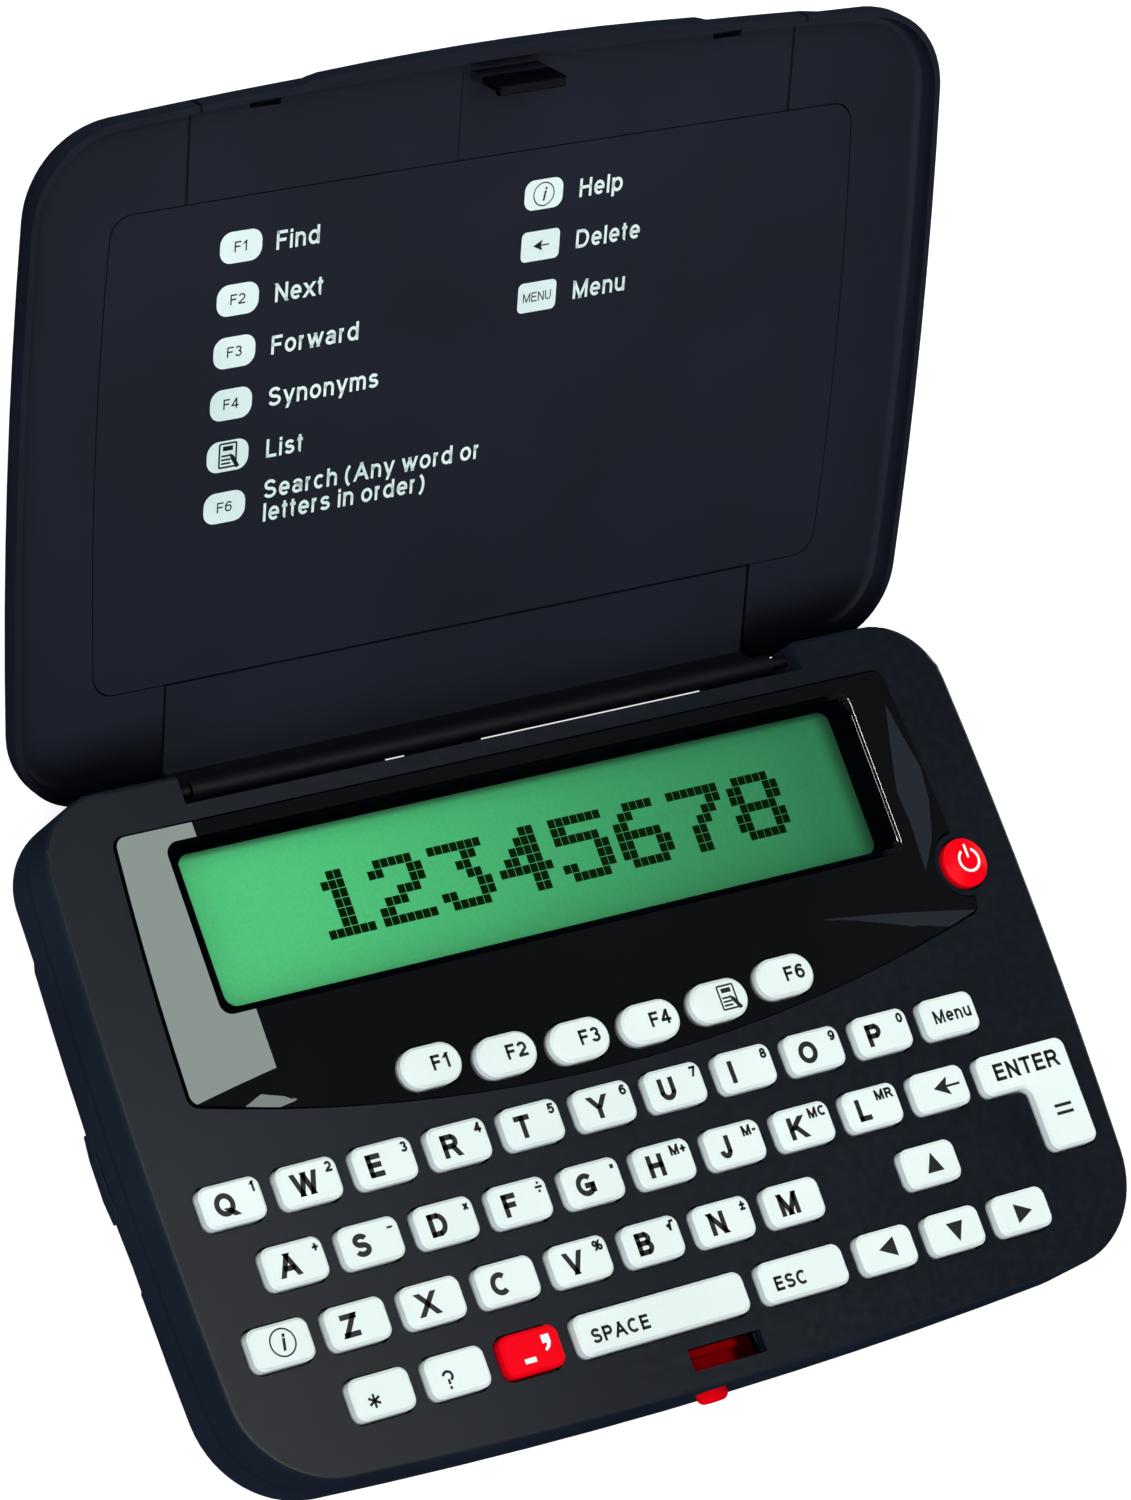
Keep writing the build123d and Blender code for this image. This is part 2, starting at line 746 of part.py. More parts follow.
def front_fall_cutter():
    """Cone that takes the bezel down from the curved crease to its front edge."""
    radius = (bezel_half_width**2 + crease_bow**2) / (2 * crease_bow)
    centre_y = crease_y - radius
    reach = crease_y - bezel_front_y
    with BuildSketch(Plane.XZ) as sketch:
        with BuildLine():
            Polyline(
                (radius, bezel_top_z),
                (radius - 2 * reach, bezel_top_z - 2 * front_fall),
                (radius - 2 * reach, ridge_top_z),
                (radius, ridge_top_z),
                close=True,
            )
        make_face()
    return Pos(0, centre_y) * revolve(sketch.sketch, Axis.Z, 360)


def display_bezel():
    """Glossy bezel with a low ridge round the display and sides sloping down to the glass."""
    plate_bottom = case_height - bezel_thickness
    body = plate(bezel_outline(0), plate_bottom, bezel_top_z - plate_bottom)
    body = chamfer(body.edges().group_by(Axis.Z)[-1], bezel_edge)
    body -= front_fall_cutter()
    ridge = plate(window_outline(ridge_width, ridge_width), plate_bottom, ridge_top_z - plate_bottom)
    body += fillet(ridge.edges().group_by(Axis.Z)[-1], ridge_edge)
    body += plate(window_outline(window_collar, window_collar), glass_z, plate_bottom - glass_z)
    top = Pos(0, 0, ridge_top_z) * window_outline(0, 0)
    bottom = Pos(0, 0, glass_z) * window_outline(-window_side_slope, -window_end_slope)
    body -= loft([bottom, top])
    cuts = []
    for x, y in function_places():
        hole = Pos(x, y) * function_outline(move_gap)
        cuts.append(plate(hole, plate_bottom, bezel_top_z - plate_bottom))
    return body - cuts


def as_opened(shape):
    """Turn a part of the closed lid about the hinge into its open position."""
    return shape.rotate(hinge_axis, -hinge_open_angle)


def lid_hook():
    """Hook that drops into the latch slot, with a barb at its rear."""
    x_low = latch_x - hook_half_width
    x_high = latch_x + hook_half_width
    blade_rear = hook_front_y + hook_thickness
    barb_rear = blade_rear + hook_barb
    blade_top = panel_bottom_z + lid_skin
    barb_top = hook_tip_z + 2 * hook_barb
    blade = box_between(x_low, x_high, hook_front_y, blade_rear, hook_tip_z, blade_top)
    hook = blade + box_between(x_low, x_high, blade_rear, barb_rear, hook_tip_z, barb_top)
    return chamfer(hook.edges().group_by(Axis.Z)[0], hook_edge)


def panel_outline(grow):
    """Outline of the inner panel of the lid."""
    return bowed_outline(
        panel_half_width + grow,
        panel_front_y - grow,
        panel_rear_y + grow,
        panel_side_bow,
        panel_front_bow,
        panel_corner,
        panel_corner,
    )


def leaf_pocket():
    """Seat of the hinge leaf in the lid, open to the rear."""
    reach = leaf_half_width + leaf_pocket_gap
    front = panel_rear_y + panel_gap
    gate_front = hinge_y - 2 * wall
    seat = box_between(-reach, reach, front, rear_y + wall, panel_bottom_z, pocket_top_z)
    return seat + box_between(-reach, reach, gate_front, rear_y + wall, lid_bottom_z, pocket_top_z)


def finger_lip():
    """Lip with sloped ends along the front of the lid, to open it by."""
    half = finger_lip_half_width
    foot = half + finger_lip_ramp
    lip_end_y = front_y + lid_front_inset - finger_lip_reach
    lip_rear = front_y + lid_front_inset + lid_rim
    with BuildSketch() as sketch:
        with BuildLine():
            ThreePointArc((-half, lip_end_y), (0, lip_end_y - finger_lip_bow), (half, lip_end_y))
            Polyline((half, lip_end_y), (foot, lip_rear), (-foot, lip_rear), (-half, lip_end_y))
        make_face()
    lip = plate(sketch.sketch, lid_bottom_z, finger_lip_height)
    return chamfer(lip.edges().group_by(Axis.Y)[0], finger_lip_reach)


def lid_shell():
    """Lid cover with rounded edges, raised rim, panel seats and latch hook."""
    body = plate(lid_outline(0), lid_bottom_z, lid_height)
    body = fillet(body.edges().group_by(Axis.Z)[-1], lid_edge_radius)
    recess = plate(lid_outline(lid_rim), lid_bottom_z, lid_recess)
    recess = fillet(recess.edges().group_by(Axis.Z)[-1], recess_radius)
    body -= recess
    body += finger_lip()
    body += lid_hook()
    pocket_height = pocket_top_z - panel_bottom_z
    cuts = [plate(panel_outline(panel_gap), panel_bottom_z, pocket_height)]
    for side in (-1, 1):
        slot_place = Pos(side * snap_slot_x, front_y + snap_slot_margin)
        slot = slot_place * Rectangle(snap_slot_length, snap_slot_width)
        cuts.append(plate(slot, lid_bottom_z, lid_recess + panel_thickness))
    groove_end = hook_groove_x + hook_groove_size
    groove_top = panel_bottom_z + hook_groove_size
    cuts.append(box_between(hook_groove_x, groove_end, hook_front_y, panel_front_y, lid_bottom_z, groove_top))
    cuts.append(leaf_pocket())
    body -= cuts
    return as_opened(body)


def lid_panel():
    """Printed inner panel, let into the lid."""
    return as_opened(plate(panel_outline(0), panel_bottom_z, pocket_top_z - panel_bottom_z))


def hinge_leaf():
    """Leaf let into the lid, with its web, barrel and hinge pins."""
    half = leaf_half_width
    body = box_between(-half, half, leaf_front_y, web_rear_y, panel_bottom_z, pocket_top_z)
    body += box_between(-half, half, web_front_y, web_rear_y, hinge_z, pocket_top_z)
    spine = body.edges().filter_by(Axis.X).group_by(Axis.Z)[-1].group_by(Axis.Y)[-1]
    body = fillet(spine, leaf_round)
    place = Pos(0, hinge_y, hinge_z) * Rot(0, 90, 0)
    body += place * Cylinder(barrel_radius, 2 * half)
    body += place * Cylinder(pin_radius, 2 * (notch_half_width + pin_reach))
    return as_opened(body)


def latch_button():
    """Latch slider with its rounded oval button, hook pocket and the bar behind it."""
    front = slider_front_y
    rear = slider_rear_y
    left = latch_x - slider_half_width
    right = latch_x + slider_half_width
    pocket_left = latch_x - hook_half_width - hook_clearance
    pocket_right = latch_x + hook_half_width + hook_clearance
    pocket_front = front + slider_front_wall
    pocket_rear = hook_front_y + hook_thickness + hook_barb + hook_clearance
    pocket_bottom = hook_tip_z - move_gap
    body = box_between(left, right, front, rear, slider_bottom_z, slider_frame_z)
    body += box_between(pocket_left, pocket_right, pocket_rear, rear, slider_frame_z, slider_bar_z)
    body -= box_between(pocket_left, pocket_right, pocket_front, pocket_rear, pocket_bottom, slider_bar_z)
    stem_length = front - front_y
    button = extrude(Pos(0, stem_length) * button_outline(0), stem_length + button_reach)
    return body + fillet(button.edges().group_by(Axis.Y)[0], button_round)


def latch_spring():
    """Bowed leaf spring between the slider and its two posts."""
    left = latch_x - spring_half_width
    right = latch_x + spring_half_width
    middle_y = slider_rear_y + spring_thickness / 2
    with BuildSketch() as sketch:
        with BuildLine() as line:
            ThreePointArc((left, spring_end_y), (latch_x, middle_y), (right, spring_end_y))
            offset(line.line, spring_thickness / 2)
        make_face()
    return plate(sketch.sketch, slider_bottom_z, spring_height)


def case_screws():
    """Six screws that hold the case halves together."""
    screws = []
    head_top = screw_head_z + screw_head_height
    cross = Rectangle(2 * screw_radius, cross_width) + Rectangle(cross_width, 2 * screw_radius)
    for x, y in screw_places:
        place = Pos(x, y)
        head = plate(place * Circle(screw_head_radius), screw_head_z, screw_head_height)
        shank = plate(place * Circle(screw_radius - fit_gap), head_top, screw_length)
        screws.append(head + shank - plate(place * cross, screw_head_z, screw_head_height / 2))
    return Compound(children=screws)


for key_name, key_x, key_y, face_width in key_layout():
    export_step(rectangular_key(key_x, key_y, face_width), f"parts/key_{key_name}.step")
for number, (function_x, function_y) in enumerate(function_places(), start=1):
    export_step(function_key(function_x, function_y), f"parts/key_function_{number}.step")
export_step(enter_key(), "parts/key_enter.step")
export_step(power_key(), "parts/key_power.step")
export_step(upper_case(), "parts/upper_case.step")
export_step(lower_case(), "parts/lower_case.step")
export_step(display_bezel(), "parts/display_bezel.step")
export_step(lcd_module(), "parts/lcd_module.step")
export_step(circuit_board(), "parts/circuit_board.step")
export_step(dome_mat(), "parts/dome_mat.step")
export_step(coin_cells(), "parts/coin_cells.step")
export_step(battery_cover(), "parts/battery_cover.step")
export_step(lid_shell(), "parts/lid_shell.step")
export_step(lid_panel(), "parts/lid_panel.step")
export_step(hinge_leaf(), "parts/hinge_leaf.step")
export_step(latch_button(), "parts/latch_button.step")
export_step(latch_spring(), "parts/latch_spring.step")
export_step(case_screws(), "parts/case_screws.step")
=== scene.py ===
"""Looks of a pocket electronic dictionary: materials, printing, display dots, light and camera."""
import json
import math

import bpy
from mathutils import Matrix, Vector


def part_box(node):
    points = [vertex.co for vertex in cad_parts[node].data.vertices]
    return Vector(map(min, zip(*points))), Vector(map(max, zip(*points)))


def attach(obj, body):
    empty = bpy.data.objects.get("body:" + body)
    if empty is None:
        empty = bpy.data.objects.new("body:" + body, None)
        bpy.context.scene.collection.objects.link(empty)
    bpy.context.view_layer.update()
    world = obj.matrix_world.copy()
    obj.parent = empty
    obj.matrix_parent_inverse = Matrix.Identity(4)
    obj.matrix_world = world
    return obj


MM = 0.001
UP = (0, 0, 1)

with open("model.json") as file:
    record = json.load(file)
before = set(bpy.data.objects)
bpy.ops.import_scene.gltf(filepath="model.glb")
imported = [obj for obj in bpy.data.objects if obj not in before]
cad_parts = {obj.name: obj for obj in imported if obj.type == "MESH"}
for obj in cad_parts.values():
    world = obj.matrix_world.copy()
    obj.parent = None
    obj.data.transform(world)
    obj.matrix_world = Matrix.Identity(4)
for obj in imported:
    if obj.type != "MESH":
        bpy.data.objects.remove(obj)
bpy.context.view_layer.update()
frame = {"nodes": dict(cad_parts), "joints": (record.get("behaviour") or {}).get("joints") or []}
nodes = frame["nodes"]
lid_joint = next(joint for joint in frame["joints"] if joint["name"] == "lid_hinge")
hinge = Vector(lid_joint["pos_m"])
opening = math.radians(max(lid_joint["range_deg"]))
unfold = Matrix.Rotation(-opening, 4, "X")
# Carries a place on the shut lid to where it is at rest, with the lid open.
lid_open = Matrix.Translation(hinge) @ unfold @ Matrix.Translation(-hinge)


# ---- colours (linear) ------------------------------------------------------
def srgb(red, green, blue):
    """Linear colour of an 8-bit screen colour."""
    linear = []
    for channel in (red, green, blue):
        c = channel / 255
        linear.append(c / 12.92 if c <= 0.04045 else ((c + 0.055) / 1.055) ** 2.4)
    return (*linear, 1.0)


# Each pair holds the darker and the lighter colour of a material that is a little uneven.
# The case's pair is the colour of its walls; painted shade darkens its upper faces.
CASE_NAVY = (srgb(27, 34, 46), srgb(31, 39, 52))
LID_NAVY = (srgb(24, 27, 37), srgb(27, 30, 41))
BEZEL_BLACK = (srgb(2, 3, 6), srgb(4, 5, 8))
KEY_WHITE = (srgb(229, 238, 237), srgb(238, 246, 244))
RED = (srgb(236, 2, 20), srgb(252, 3, 26))
BOARD_GREEN = (srgb(18, 74, 40), srgb(24, 92, 50))
MAT_GREY = (srgb(120, 120, 116), srgb(140, 140, 135))
DOT_BLACK = (srgb(8, 24, 4), srgb(12, 30, 8))
PRINT_WHITE = (srgb(212, 230, 228), srgb(232, 246, 243))
PRINT_BLACK = (srgb(12, 13, 15), srgb(16, 17, 19))
CELL_STEEL = (srgb(180, 180, 178), srgb(205, 205, 203))
SPRING_STEEL = (srgb(140, 140, 140), srgb(170, 170, 168))
SCREW_STEEL = (srgb(60, 60, 62), srgb(84, 84, 86))
GLASS_SPECKS = ((0.93, 0.93, 0.93, 1), (1, 1, 1, 1))
# The display's green at its left and right ends; the darkening to the right is painted shade.
LCD_LEFT = srgb(74, 192, 120)
LCD_RIGHT = srgb(46, 126, 82)


# ---- shader building blocks ------------------------------------------------
# Scales are in waves per metre. Noise crowds round its middle, so these spans of it are used.
CLOUD_SCALE = 45.0
GLOSS_SCALE = 900.0
CLOUD_SPAN = (0.35, 0.65)
GLOSS_SPAN = (0.3, 0.7)


def new_material(name):
    """Empty node material with its principled shader."""
    material = bpy.data.materials.new(name)
    material.use_nodes = True
    tree = material.node_tree
    return material, tree, tree.nodes["Principled BSDF"]


def noise(tree, scale, detail=2.0):
    """Noise over the object's own coordinates, in metres."""
    coordinates = tree.nodes.new("ShaderNodeTexCoord")
    texture = tree.nodes.new("ShaderNodeTexNoise")
    texture.inputs["Scale"].default_value = scale
    texture.inputs["Detail"].default_value = detail
    texture.inputs["Roughness"].default_value = 0.5
    tree.links.new(coordinates.outputs["Object"], texture.inputs["Vector"])
    return texture.outputs["Fac"]


def mix_colours(tree, factor, dark, light):
    """Colour between two, by a noise."""
    ramp = tree.nodes.new("ShaderNodeValToRGB")
    for element, place, colour in zip(ramp.color_ramp.elements, CLOUD_SPAN, (dark, light)):
        element.position = place
        element.color = colour
    tree.links.new(factor, ramp.inputs["Fac"])
    return ramp.outputs["Color"]


def map_range(tree, value, start, end, low=0.0, high=1.0, smooth=False):
    """Value that runs from low to high while another one runs from start to end."""
    node = tree.nodes.new("ShaderNodeMapRange")
    if smooth:
        node.interpolation_type = "SMOOTHSTEP"
    node.inputs["From Min"].default_value = start
    node.inputs["From Max"].default_value = end
    node.inputs["To Min"].default_value = low
    node.inputs["To Max"].default_value = high
    tree.links.new(value, node.inputs["Value"])
    return node.outputs["Result"]


def spread(tree, factor, low, high):
    """A noise stretched to a range."""
    return map_range(tree, factor, *GLOSS_SPAN, low, high)


def add_bump(tree, shader, height, distance, strength):
    """Surface relief from a height signal."""
    bump = tree.nodes.new("ShaderNodeBump")
    bump.inputs["Distance"].default_value = distance
    bump.inputs["Strength"].default_value = strength
    tree.links.new(height, bump.inputs["Height"])
    tree.links.new(bump.outputs["Normal"], shader.inputs["Normal"])


def along_direction(tree, source, direction):
    """How far a place, or how much a face, lies along a direction of its object."""
    coordinates = tree.nodes.new("ShaderNodeTexCoord")
    product = tree.nodes.new("ShaderNodeVectorMath")
    product.operation = "DOT_PRODUCT"
    product.inputs[1].default_value = direction
    tree.links.new(coordinates.outputs[source], product.inputs[0])
    return product.outputs["Value"]


def facing(tree, direction):
    """How much a face looks along a direction, from -1 to 1."""
    return along_direction(tree, "Normal", direction)


def ramp_along(tree, axis, start, end, low=0.0, high=1.0):
    """Value that runs smoothly from low to high between two places along an axis."""
    coordinates = tree.nodes.new("ShaderNodeTexCoord")
    split = tree.nodes.new("ShaderNodeSeparateXYZ")
    tree.links.new(coordinates.outputs["Object"], split.inputs["Vector"])
    return map_range(tree, split.outputs[axis], start, end, low, high, smooth=True)


def from_hinge(tree, direction, start, end):
    """Zero to one with the distance from the hinge axis, along a direction of the shut lid."""
    along = lid_open.to_3x3() @ Vector(direction)
    distance = along_direction(tree, "Object", along)
    return map_range(tree, distance, start + hinge.dot(along), end + hinge.dot(along))


def grey_ramp(tree, value, stops):
    """Grey level that follows stops of place and level between 0 and 1."""
    ramp = tree.nodes.new("ShaderNodeValToRGB")
    elements = ramp.color_ramp.elements
    while len(elements) < len(stops):
        elements.new(0.5)
    for element, (place, level) in zip(elements, stops):
        element.position = place
        element.color = (level, level, level, 1)
    tree.links.new(value, ramp.inputs["Fac"])
    return ramp.outputs["Color"]


def blended(tree, first, second, kind):
    """Two colours or values joined by a blend type."""
    node = tree.nodes.new("ShaderNodeMix")
    node.data_type = "RGBA"
    node.blend_type = kind
    node.inputs["Factor"].default_value = 1.0
    tree.links.new(first, node.inputs["A"])
    tree.links.new(second, node.inputs["B"])
    return node.outputs["Result"]


def multiply(tree, first, second):
    """Product of two colours or values."""
    return blended(tree, first, second, "MULTIPLY")


def lighten(tree, first, second):
    """The greater of two colours or values."""
    return blended(tree, first, second, "LIGHTEN")


def scale_input(material, name, factor):
    """Multiplies what already drives an input of the material's shader by a factor."""
    tree = material.node_tree
    socket = tree.nodes["Principled BSDF"].inputs[name]
    tree.links.new(multiply(tree, socket.links[0].from_socket, factor), socket)


def darken(material, shade):
    """Multiplies a material's colour by a shade."""
    scale_input(material, "Base Color", shade)


# ---- materials -------------------------------------------------------------
def grained(
    name, colours, roughness, grain_scale=5200.0, relief=0.02 * MM, strength=0.35, shine=0.5
):
    """Moulded plastic: uneven colour and gloss with a fine spark-eroded grain."""
    material, tree, shader = new_material(name)
    shader.inputs["Specular IOR Level"].default_value = shine
    cloud = noise(tree, CLOUD_SCALE, detail=4.0)
    tree.links.new(mix_colours(tree, cloud, *colours), shader.inputs["Base Color"])
    gloss_spots = noise(tree, GLOSS_SCALE, detail=3.0)
    tree.links.new(spread(tree, gloss_spots, *roughness), shader.inputs["Roughness"])
    add_bump(tree, shader, noise(tree, grain_scale), relief, strength)
    return material


def smooth_plastic(name, colours, roughness, strength, shine):
    """Moulded plastic with a shallow, wider grain."""
    relief = 0.01 * MM
    return grained(name, colours, roughness, 3000.0, relief, strength, shine)


def metal(name, colours, roughness, scale):
    """Brushed or stamped metal."""
    material, tree, shader = new_material(name)
    streaks = noise(tree, scale, detail=3.0)
    tree.links.new(mix_colours(tree, streaks, *colours), shader.inputs["Base Color"])
    uneven = spread(tree, streaks, roughness - 0.08, roughness + 0.08)
    tree.links.new(uneven, shader.inputs["Roughness"])
    shader.inputs["Metallic"].default_value = 1.0
    add_bump(tree, shader, streaks, distance=0.01 * MM, strength=0.2)
    return material


# Cosines to the upright where walls end, where the rounded edge runs, and where faces begin.
WALLS_END = 0.72
EDGE_STARTS = 0.8
EDGE_ENDS = 0.93
FACES_START = 0.985


def worn_edges(material, upright, face_level, edge_level):
    """Edges rubbed smooth: they shine more than the textured faces, and walls don't shine."""
    tree = material.node_tree
    shader = tree.nodes["Principled BSDF"]
    edge = [(EDGE_STARTS, edge_level), (EDGE_ENDS, edge_level)]
    stops = [(0.0, 0.0), (WALLS_END, 0.0), *edge, (FACES_START, face_level)]
    level = grey_ramp(tree, facing(tree, upright), stops)
    tree.links.new(level, shader.inputs["Specular IOR Level"])


# Sides of the latch slot: axis, the two places in millimetres between which the side's level
# changes, and the level before and after them. The level is 0 inside the slot, which gets painted
# shade, and 1 outside.
SLOT_SIDES = [
    ("X", -5.2, -5.0, 1.0, 0.0),
    ("X", 5.6, 5.7, 0.0, 1.0),
    ("Y", -41.35, -41.3, 1.0, 0.0),
    ("Y", -38.45, -38.4, 0.0, 1.0),
]
# Levels of painted shade on the case: its upper faces, and inside the latch slot.
TOP_SHADE = 0.35
SLOT_SHADE = 0.12


def case_plastic():
    """Navy plastic, rubbed at the edges, with painted shade on its upper faces and in the latch
    slot.
    """
    material = grained("case_grain", CASE_NAVY, roughness=(0.28, 0.36), shine=0.12)
    tree = material.node_tree
    worn_edges(material, UP, face_level=0.06, edge_level=0.14)
    upward = facing(tree, UP)
    # Painted shade: upper faces darker than the walls.
    darken(material, grey_ramp(tree, upward, [(0.6, 1.0), (0.9, TOP_SHADE)]))
    outside = grey_ramp(tree, upward, [(0.0, 0.0), (0.5, 0.0), (0.6, 1.0)])
    for axis, start, end, before, after in SLOT_SIDES:
        side = ramp_along(tree, axis, start * MM, end * MM, before, after)
        outside = lighten(tree, outside, side)
    # Painted shade inside the latch slot.
    darken(material, grey_ramp(tree, outside, [(0.0, SLOT_SHADE), (1.0, 1.0)]))
    return material


# Heights above the hinge axis on the shut lid, between which a painted shade ends.
HOOK_REACH = (3.3 * MM, 3.5 * MM)
COVER_HEIGHT = (7.2 * MM, 7.25 * MM)
LEAF_FACE = (5.6 * MM, 5.8 * MM)
# Distance ahead of the hinge axis over which the lid comes out of the hinge's painted shade.
HINGE_SHADE_DEPTH = 8.0 * MM
# The leaf's side and the far side of the joint beside it, from the middle of the lid.
LEAF_SIDE = 42.4 * MM
LEAF_GROOVE = 42.75 * MM
GROOVE_SOFTNESS = 0.03 * MM
# Levels of the painted shade on the hook, near the hinge and in the joints beside the leaf.
HOOK_SHADE = 0.15
HINGE_SHADE = 0.12
GROOVE_SHADE = 0.1


def lid_plastic():
    """Navy plastic of the lid, with painted shade on the hook, near the hinge and in the joints
    beside the hinge leaf.
    """
    material = grained("lid_grain", LID_NAVY, roughness=(0.42, 0.54), shine=0.15)
    tree = material.node_tree
    inward = lid_open.to_3x3() @ Vector((0, 0, -1))
    worn_edges(material, inward, face_level=0.05, edge_level=0.08)
    # Painted shade on the hook.
    hook = from_hinge(tree, UP, *HOOK_REACH)
    darken(material, grey_ramp(tree, hook, [(0.0, HOOK_SHADE), (1.0, 1.0)]))
    # Painted shade on the low part of the lid near the hinge.
    covered = from_hinge(tree, UP, *COVER_HEIGHT)
    ahead = from_hinge(tree, (0, -1, 0), 0.0, HINGE_SHADE_DEPTH)
    lit = lighten(tree, ahead, covered)
    darken(material, grey_ramp(tree, lit, [(0.0, HINGE_SHADE), (1.0, 1.0)]))
    gloss = grey_ramp(tree, ahead, [(0.1, 0.0), (1.0, 1.0)])
    scale_input(material, "Specular IOR Level", gloss)
    # Painted shade in the joints beside the hinge leaf.
    for side in (-1, 1):
        inner, outer = side * LEAF_SIDE, side * LEAF_GROOVE
        soft = side * GROOVE_SOFTNESS
        within = ramp_along(tree, "X", inner - soft, inner, 1.0, 0.0)
        beyond = ramp_along(tree, "X", outer, outer + soft)
        clear = lighten(tree, lighten(tree, within, beyond), covered)
        darken(material, grey_ramp(tree, clear, [(0.0, GROOVE_SHADE), (1.0, 1.0)]))
    return material


def leaf_plastic():
    """Hinge leaf: its inner face is like the lid panel, and its barrel gets painted shade."""
    material = grained("leaf_grain", LID_NAVY, roughness=(0.44, 0.56))
    tree = material.node_tree
    shader = tree.nodes["Principled BSDF"]
    inner_face = from_hinge(tree, UP, *LEAF_FACE)
    gloss = map_range(tree, inner_face, 0.0, 1.0, low=0.04, high=0.05)
    tree.links.new(gloss, shader.inputs["Specular IOR Level"])
    # Painted shade on the barrel.
    darken(material, grey_ramp(tree, inner_face, [(0.0, 0.3), (1.0, 1.0)]))
    return material


RIDGE_HEIGHT = 0.35 * MM
RIDGE_LIT_FROM = 46 * MM
RIDGE_LIT_FULLY = 47 * MM


def bezel_plastic():
    """Black mirror gloss on the flat face, and on the ridge only at its right end."""
    relief = 0.002 * MM
    material = grained("bezel_gloss", BEZEL_BLACK, (0.0, 0.006), 160.0, relief, strength=0.01)
    tree = material.node_tree
    shader = tree.nodes["Principled BSDF"]
    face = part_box("display_bezel")[1][2] - RIDGE_HEIGHT
    lower, upper = face + 0.01 * MM, face + 0.04 * MM
    upward = facing(tree, UP)
    flat = grey_ramp(tree, upward, [(0.93, 0.0), (0.98, 1.0)])
    rounded_edge = grey_ramp(tree, upward, [(0.3, 0.0), (0.5, 1.0)])
    below_ridge = ramp_along(tree, "Z", lower, upper, 1.0, 0.0)
    above_face = ramp_along(tree, "Z", lower, upper)
    right_end = ramp_along(tree, "X", RIDGE_LIT_FROM, RIDGE_LIT_FULLY)
    ridge_gloss = multiply(tree, multiply(tree, right_end, above_face), rounded_edge)
    shine = lighten(tree, ridge_gloss, multiply(tree, below_ridge, flat))
    tree.links.new(shine, shader.inputs["Coat Weight"])
    tree.links.new(shine, shader.inputs["Specular IOR Level"])
    shader.inputs["Coat Roughness"].default_value = 0.0
    return material


BUTTON_DEPTH = 2.6 * MM
# Levels of the painted shade on the slider and at its right end.
SLIDER_SHADE = 0.4
SLIDER_END_SHADE = 0.1


def latch_plastic():
    """Red latch: the button is in the light, and the slider behind it has painted shade, darkest
    at its right end.
    """
    material = smooth_plastic("latch_red", RED, (0.26, 0.34), strength=0.1, shine=0.0)
    tree = material.node_tree
    low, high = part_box("latch_button")
    inside = low[1] + BUTTON_DEPTH
    slider = ramp_along(tree, "Y", inside, inside + 0.8 * MM, 1.0, SLIDER_SHADE)
    end_start, end_full = high[0] - 3.4 * MM, high[0] - 2.0 * MM
    slider_end = ramp_along(tree, "X", end_start, end_full, 1.0, SLIDER_END_SHADE)
    button = ramp_along(tree, "Y", inside - 0.4 * MM, inside, 1.0, 0.0)
    # Painted shade on the slider, not on the button.
    darken(material, multiply(tree, slider, lighten(tree, slider_end, button)))
    return material


# The window's edges in from the glass module's, and the width of the painted shadow that they
# cast.
WINDOW_RIGHT = 3.4 * MM
WINDOW_REAR = 2.4 * MM
RIGHT_SHADE = 3.2 * MM
REAR_SHADE = 1.2 * MM
WINDOW_SHADE = 0.25


def display_glass():
    """Reflective display: green, darker to the right as painted shade, with a painted shadow along
    the rear and right edges.
    """
    material, tree, shader = new_material("display_green")
    low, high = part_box("lcd_module")
    ramp = tree.nodes.new("ShaderNodeValToRGB")
    ramp.color_ramp.elements[0].color = LCD_LEFT
    ramp.color_ramp.elements[1].color = LCD_RIGHT
    tree.links.new(ramp_along(tree, "X", low[0], high[0]), ramp.inputs["Fac"])
    specks = mix_colours(tree, noise(tree, 2600.0), *GLASS_SPECKS)
    colour = multiply(tree, ramp.outputs["Color"], specks)
    # Painted shadow of the window's right and rear edges.
    edge_x = high[0] - WINDOW_RIGHT
    edge_y = high[1] - WINDOW_REAR
    right_shade = ramp_along(tree, "X", edge_x - RIGHT_SHADE, edge_x, 1.0, WINDOW_SHADE)
    rear_shade = ramp_along(tree, "Y", edge_y - REAR_SHADE, edge_y, 1.0, WINDOW_SHADE)
    colour = multiply(tree, multiply(tree, colour, right_shade), rear_shade)
    tree.links.new(colour, shader.inputs["Base Color"])
    shader.inputs["Roughness"].default_value = 0.35
    shader.inputs["Specular IOR Level"].default_value = 0.08
    return material


def board_lacquer_and_painted_shade():
    """Green board, with painted shade where only the latch slot shows it."""
    material = grained("board_green", BOARD_GREEN, (0.3, 0.45), grain_scale=1500.0)
    # Painted shade on the part of the board that the latch slot shows.
    darken(material, ramp_along(material.node_tree, "Y", -36.5 * MM, -36 * MM))
    return material


def ink(name, colours, roughness, shine):
    """Printed ink."""
    return grained(name, colours, roughness, grain_scale=2500.0, shine=shine)


case_material = case_plastic()
key_material = smooth_plastic("key_white", KEY_WHITE, (0.30, 0.40), strength=0.15, shine=0.04)
red_material = smooth_plastic("red_plastic", RED, (0.26, 0.34), strength=0.1, shine=0.01)
dot_material = ink("display_dots", DOT_BLACK, (0.4, 0.5), shine=0.0)
lid_print_material = ink("lid_print", PRINT_WHITE, (0.45, 0.6), shine=0.3)
key_print_material = ink("key_print", PRINT_BLACK, (0.4, 0.55), shine=0.1)

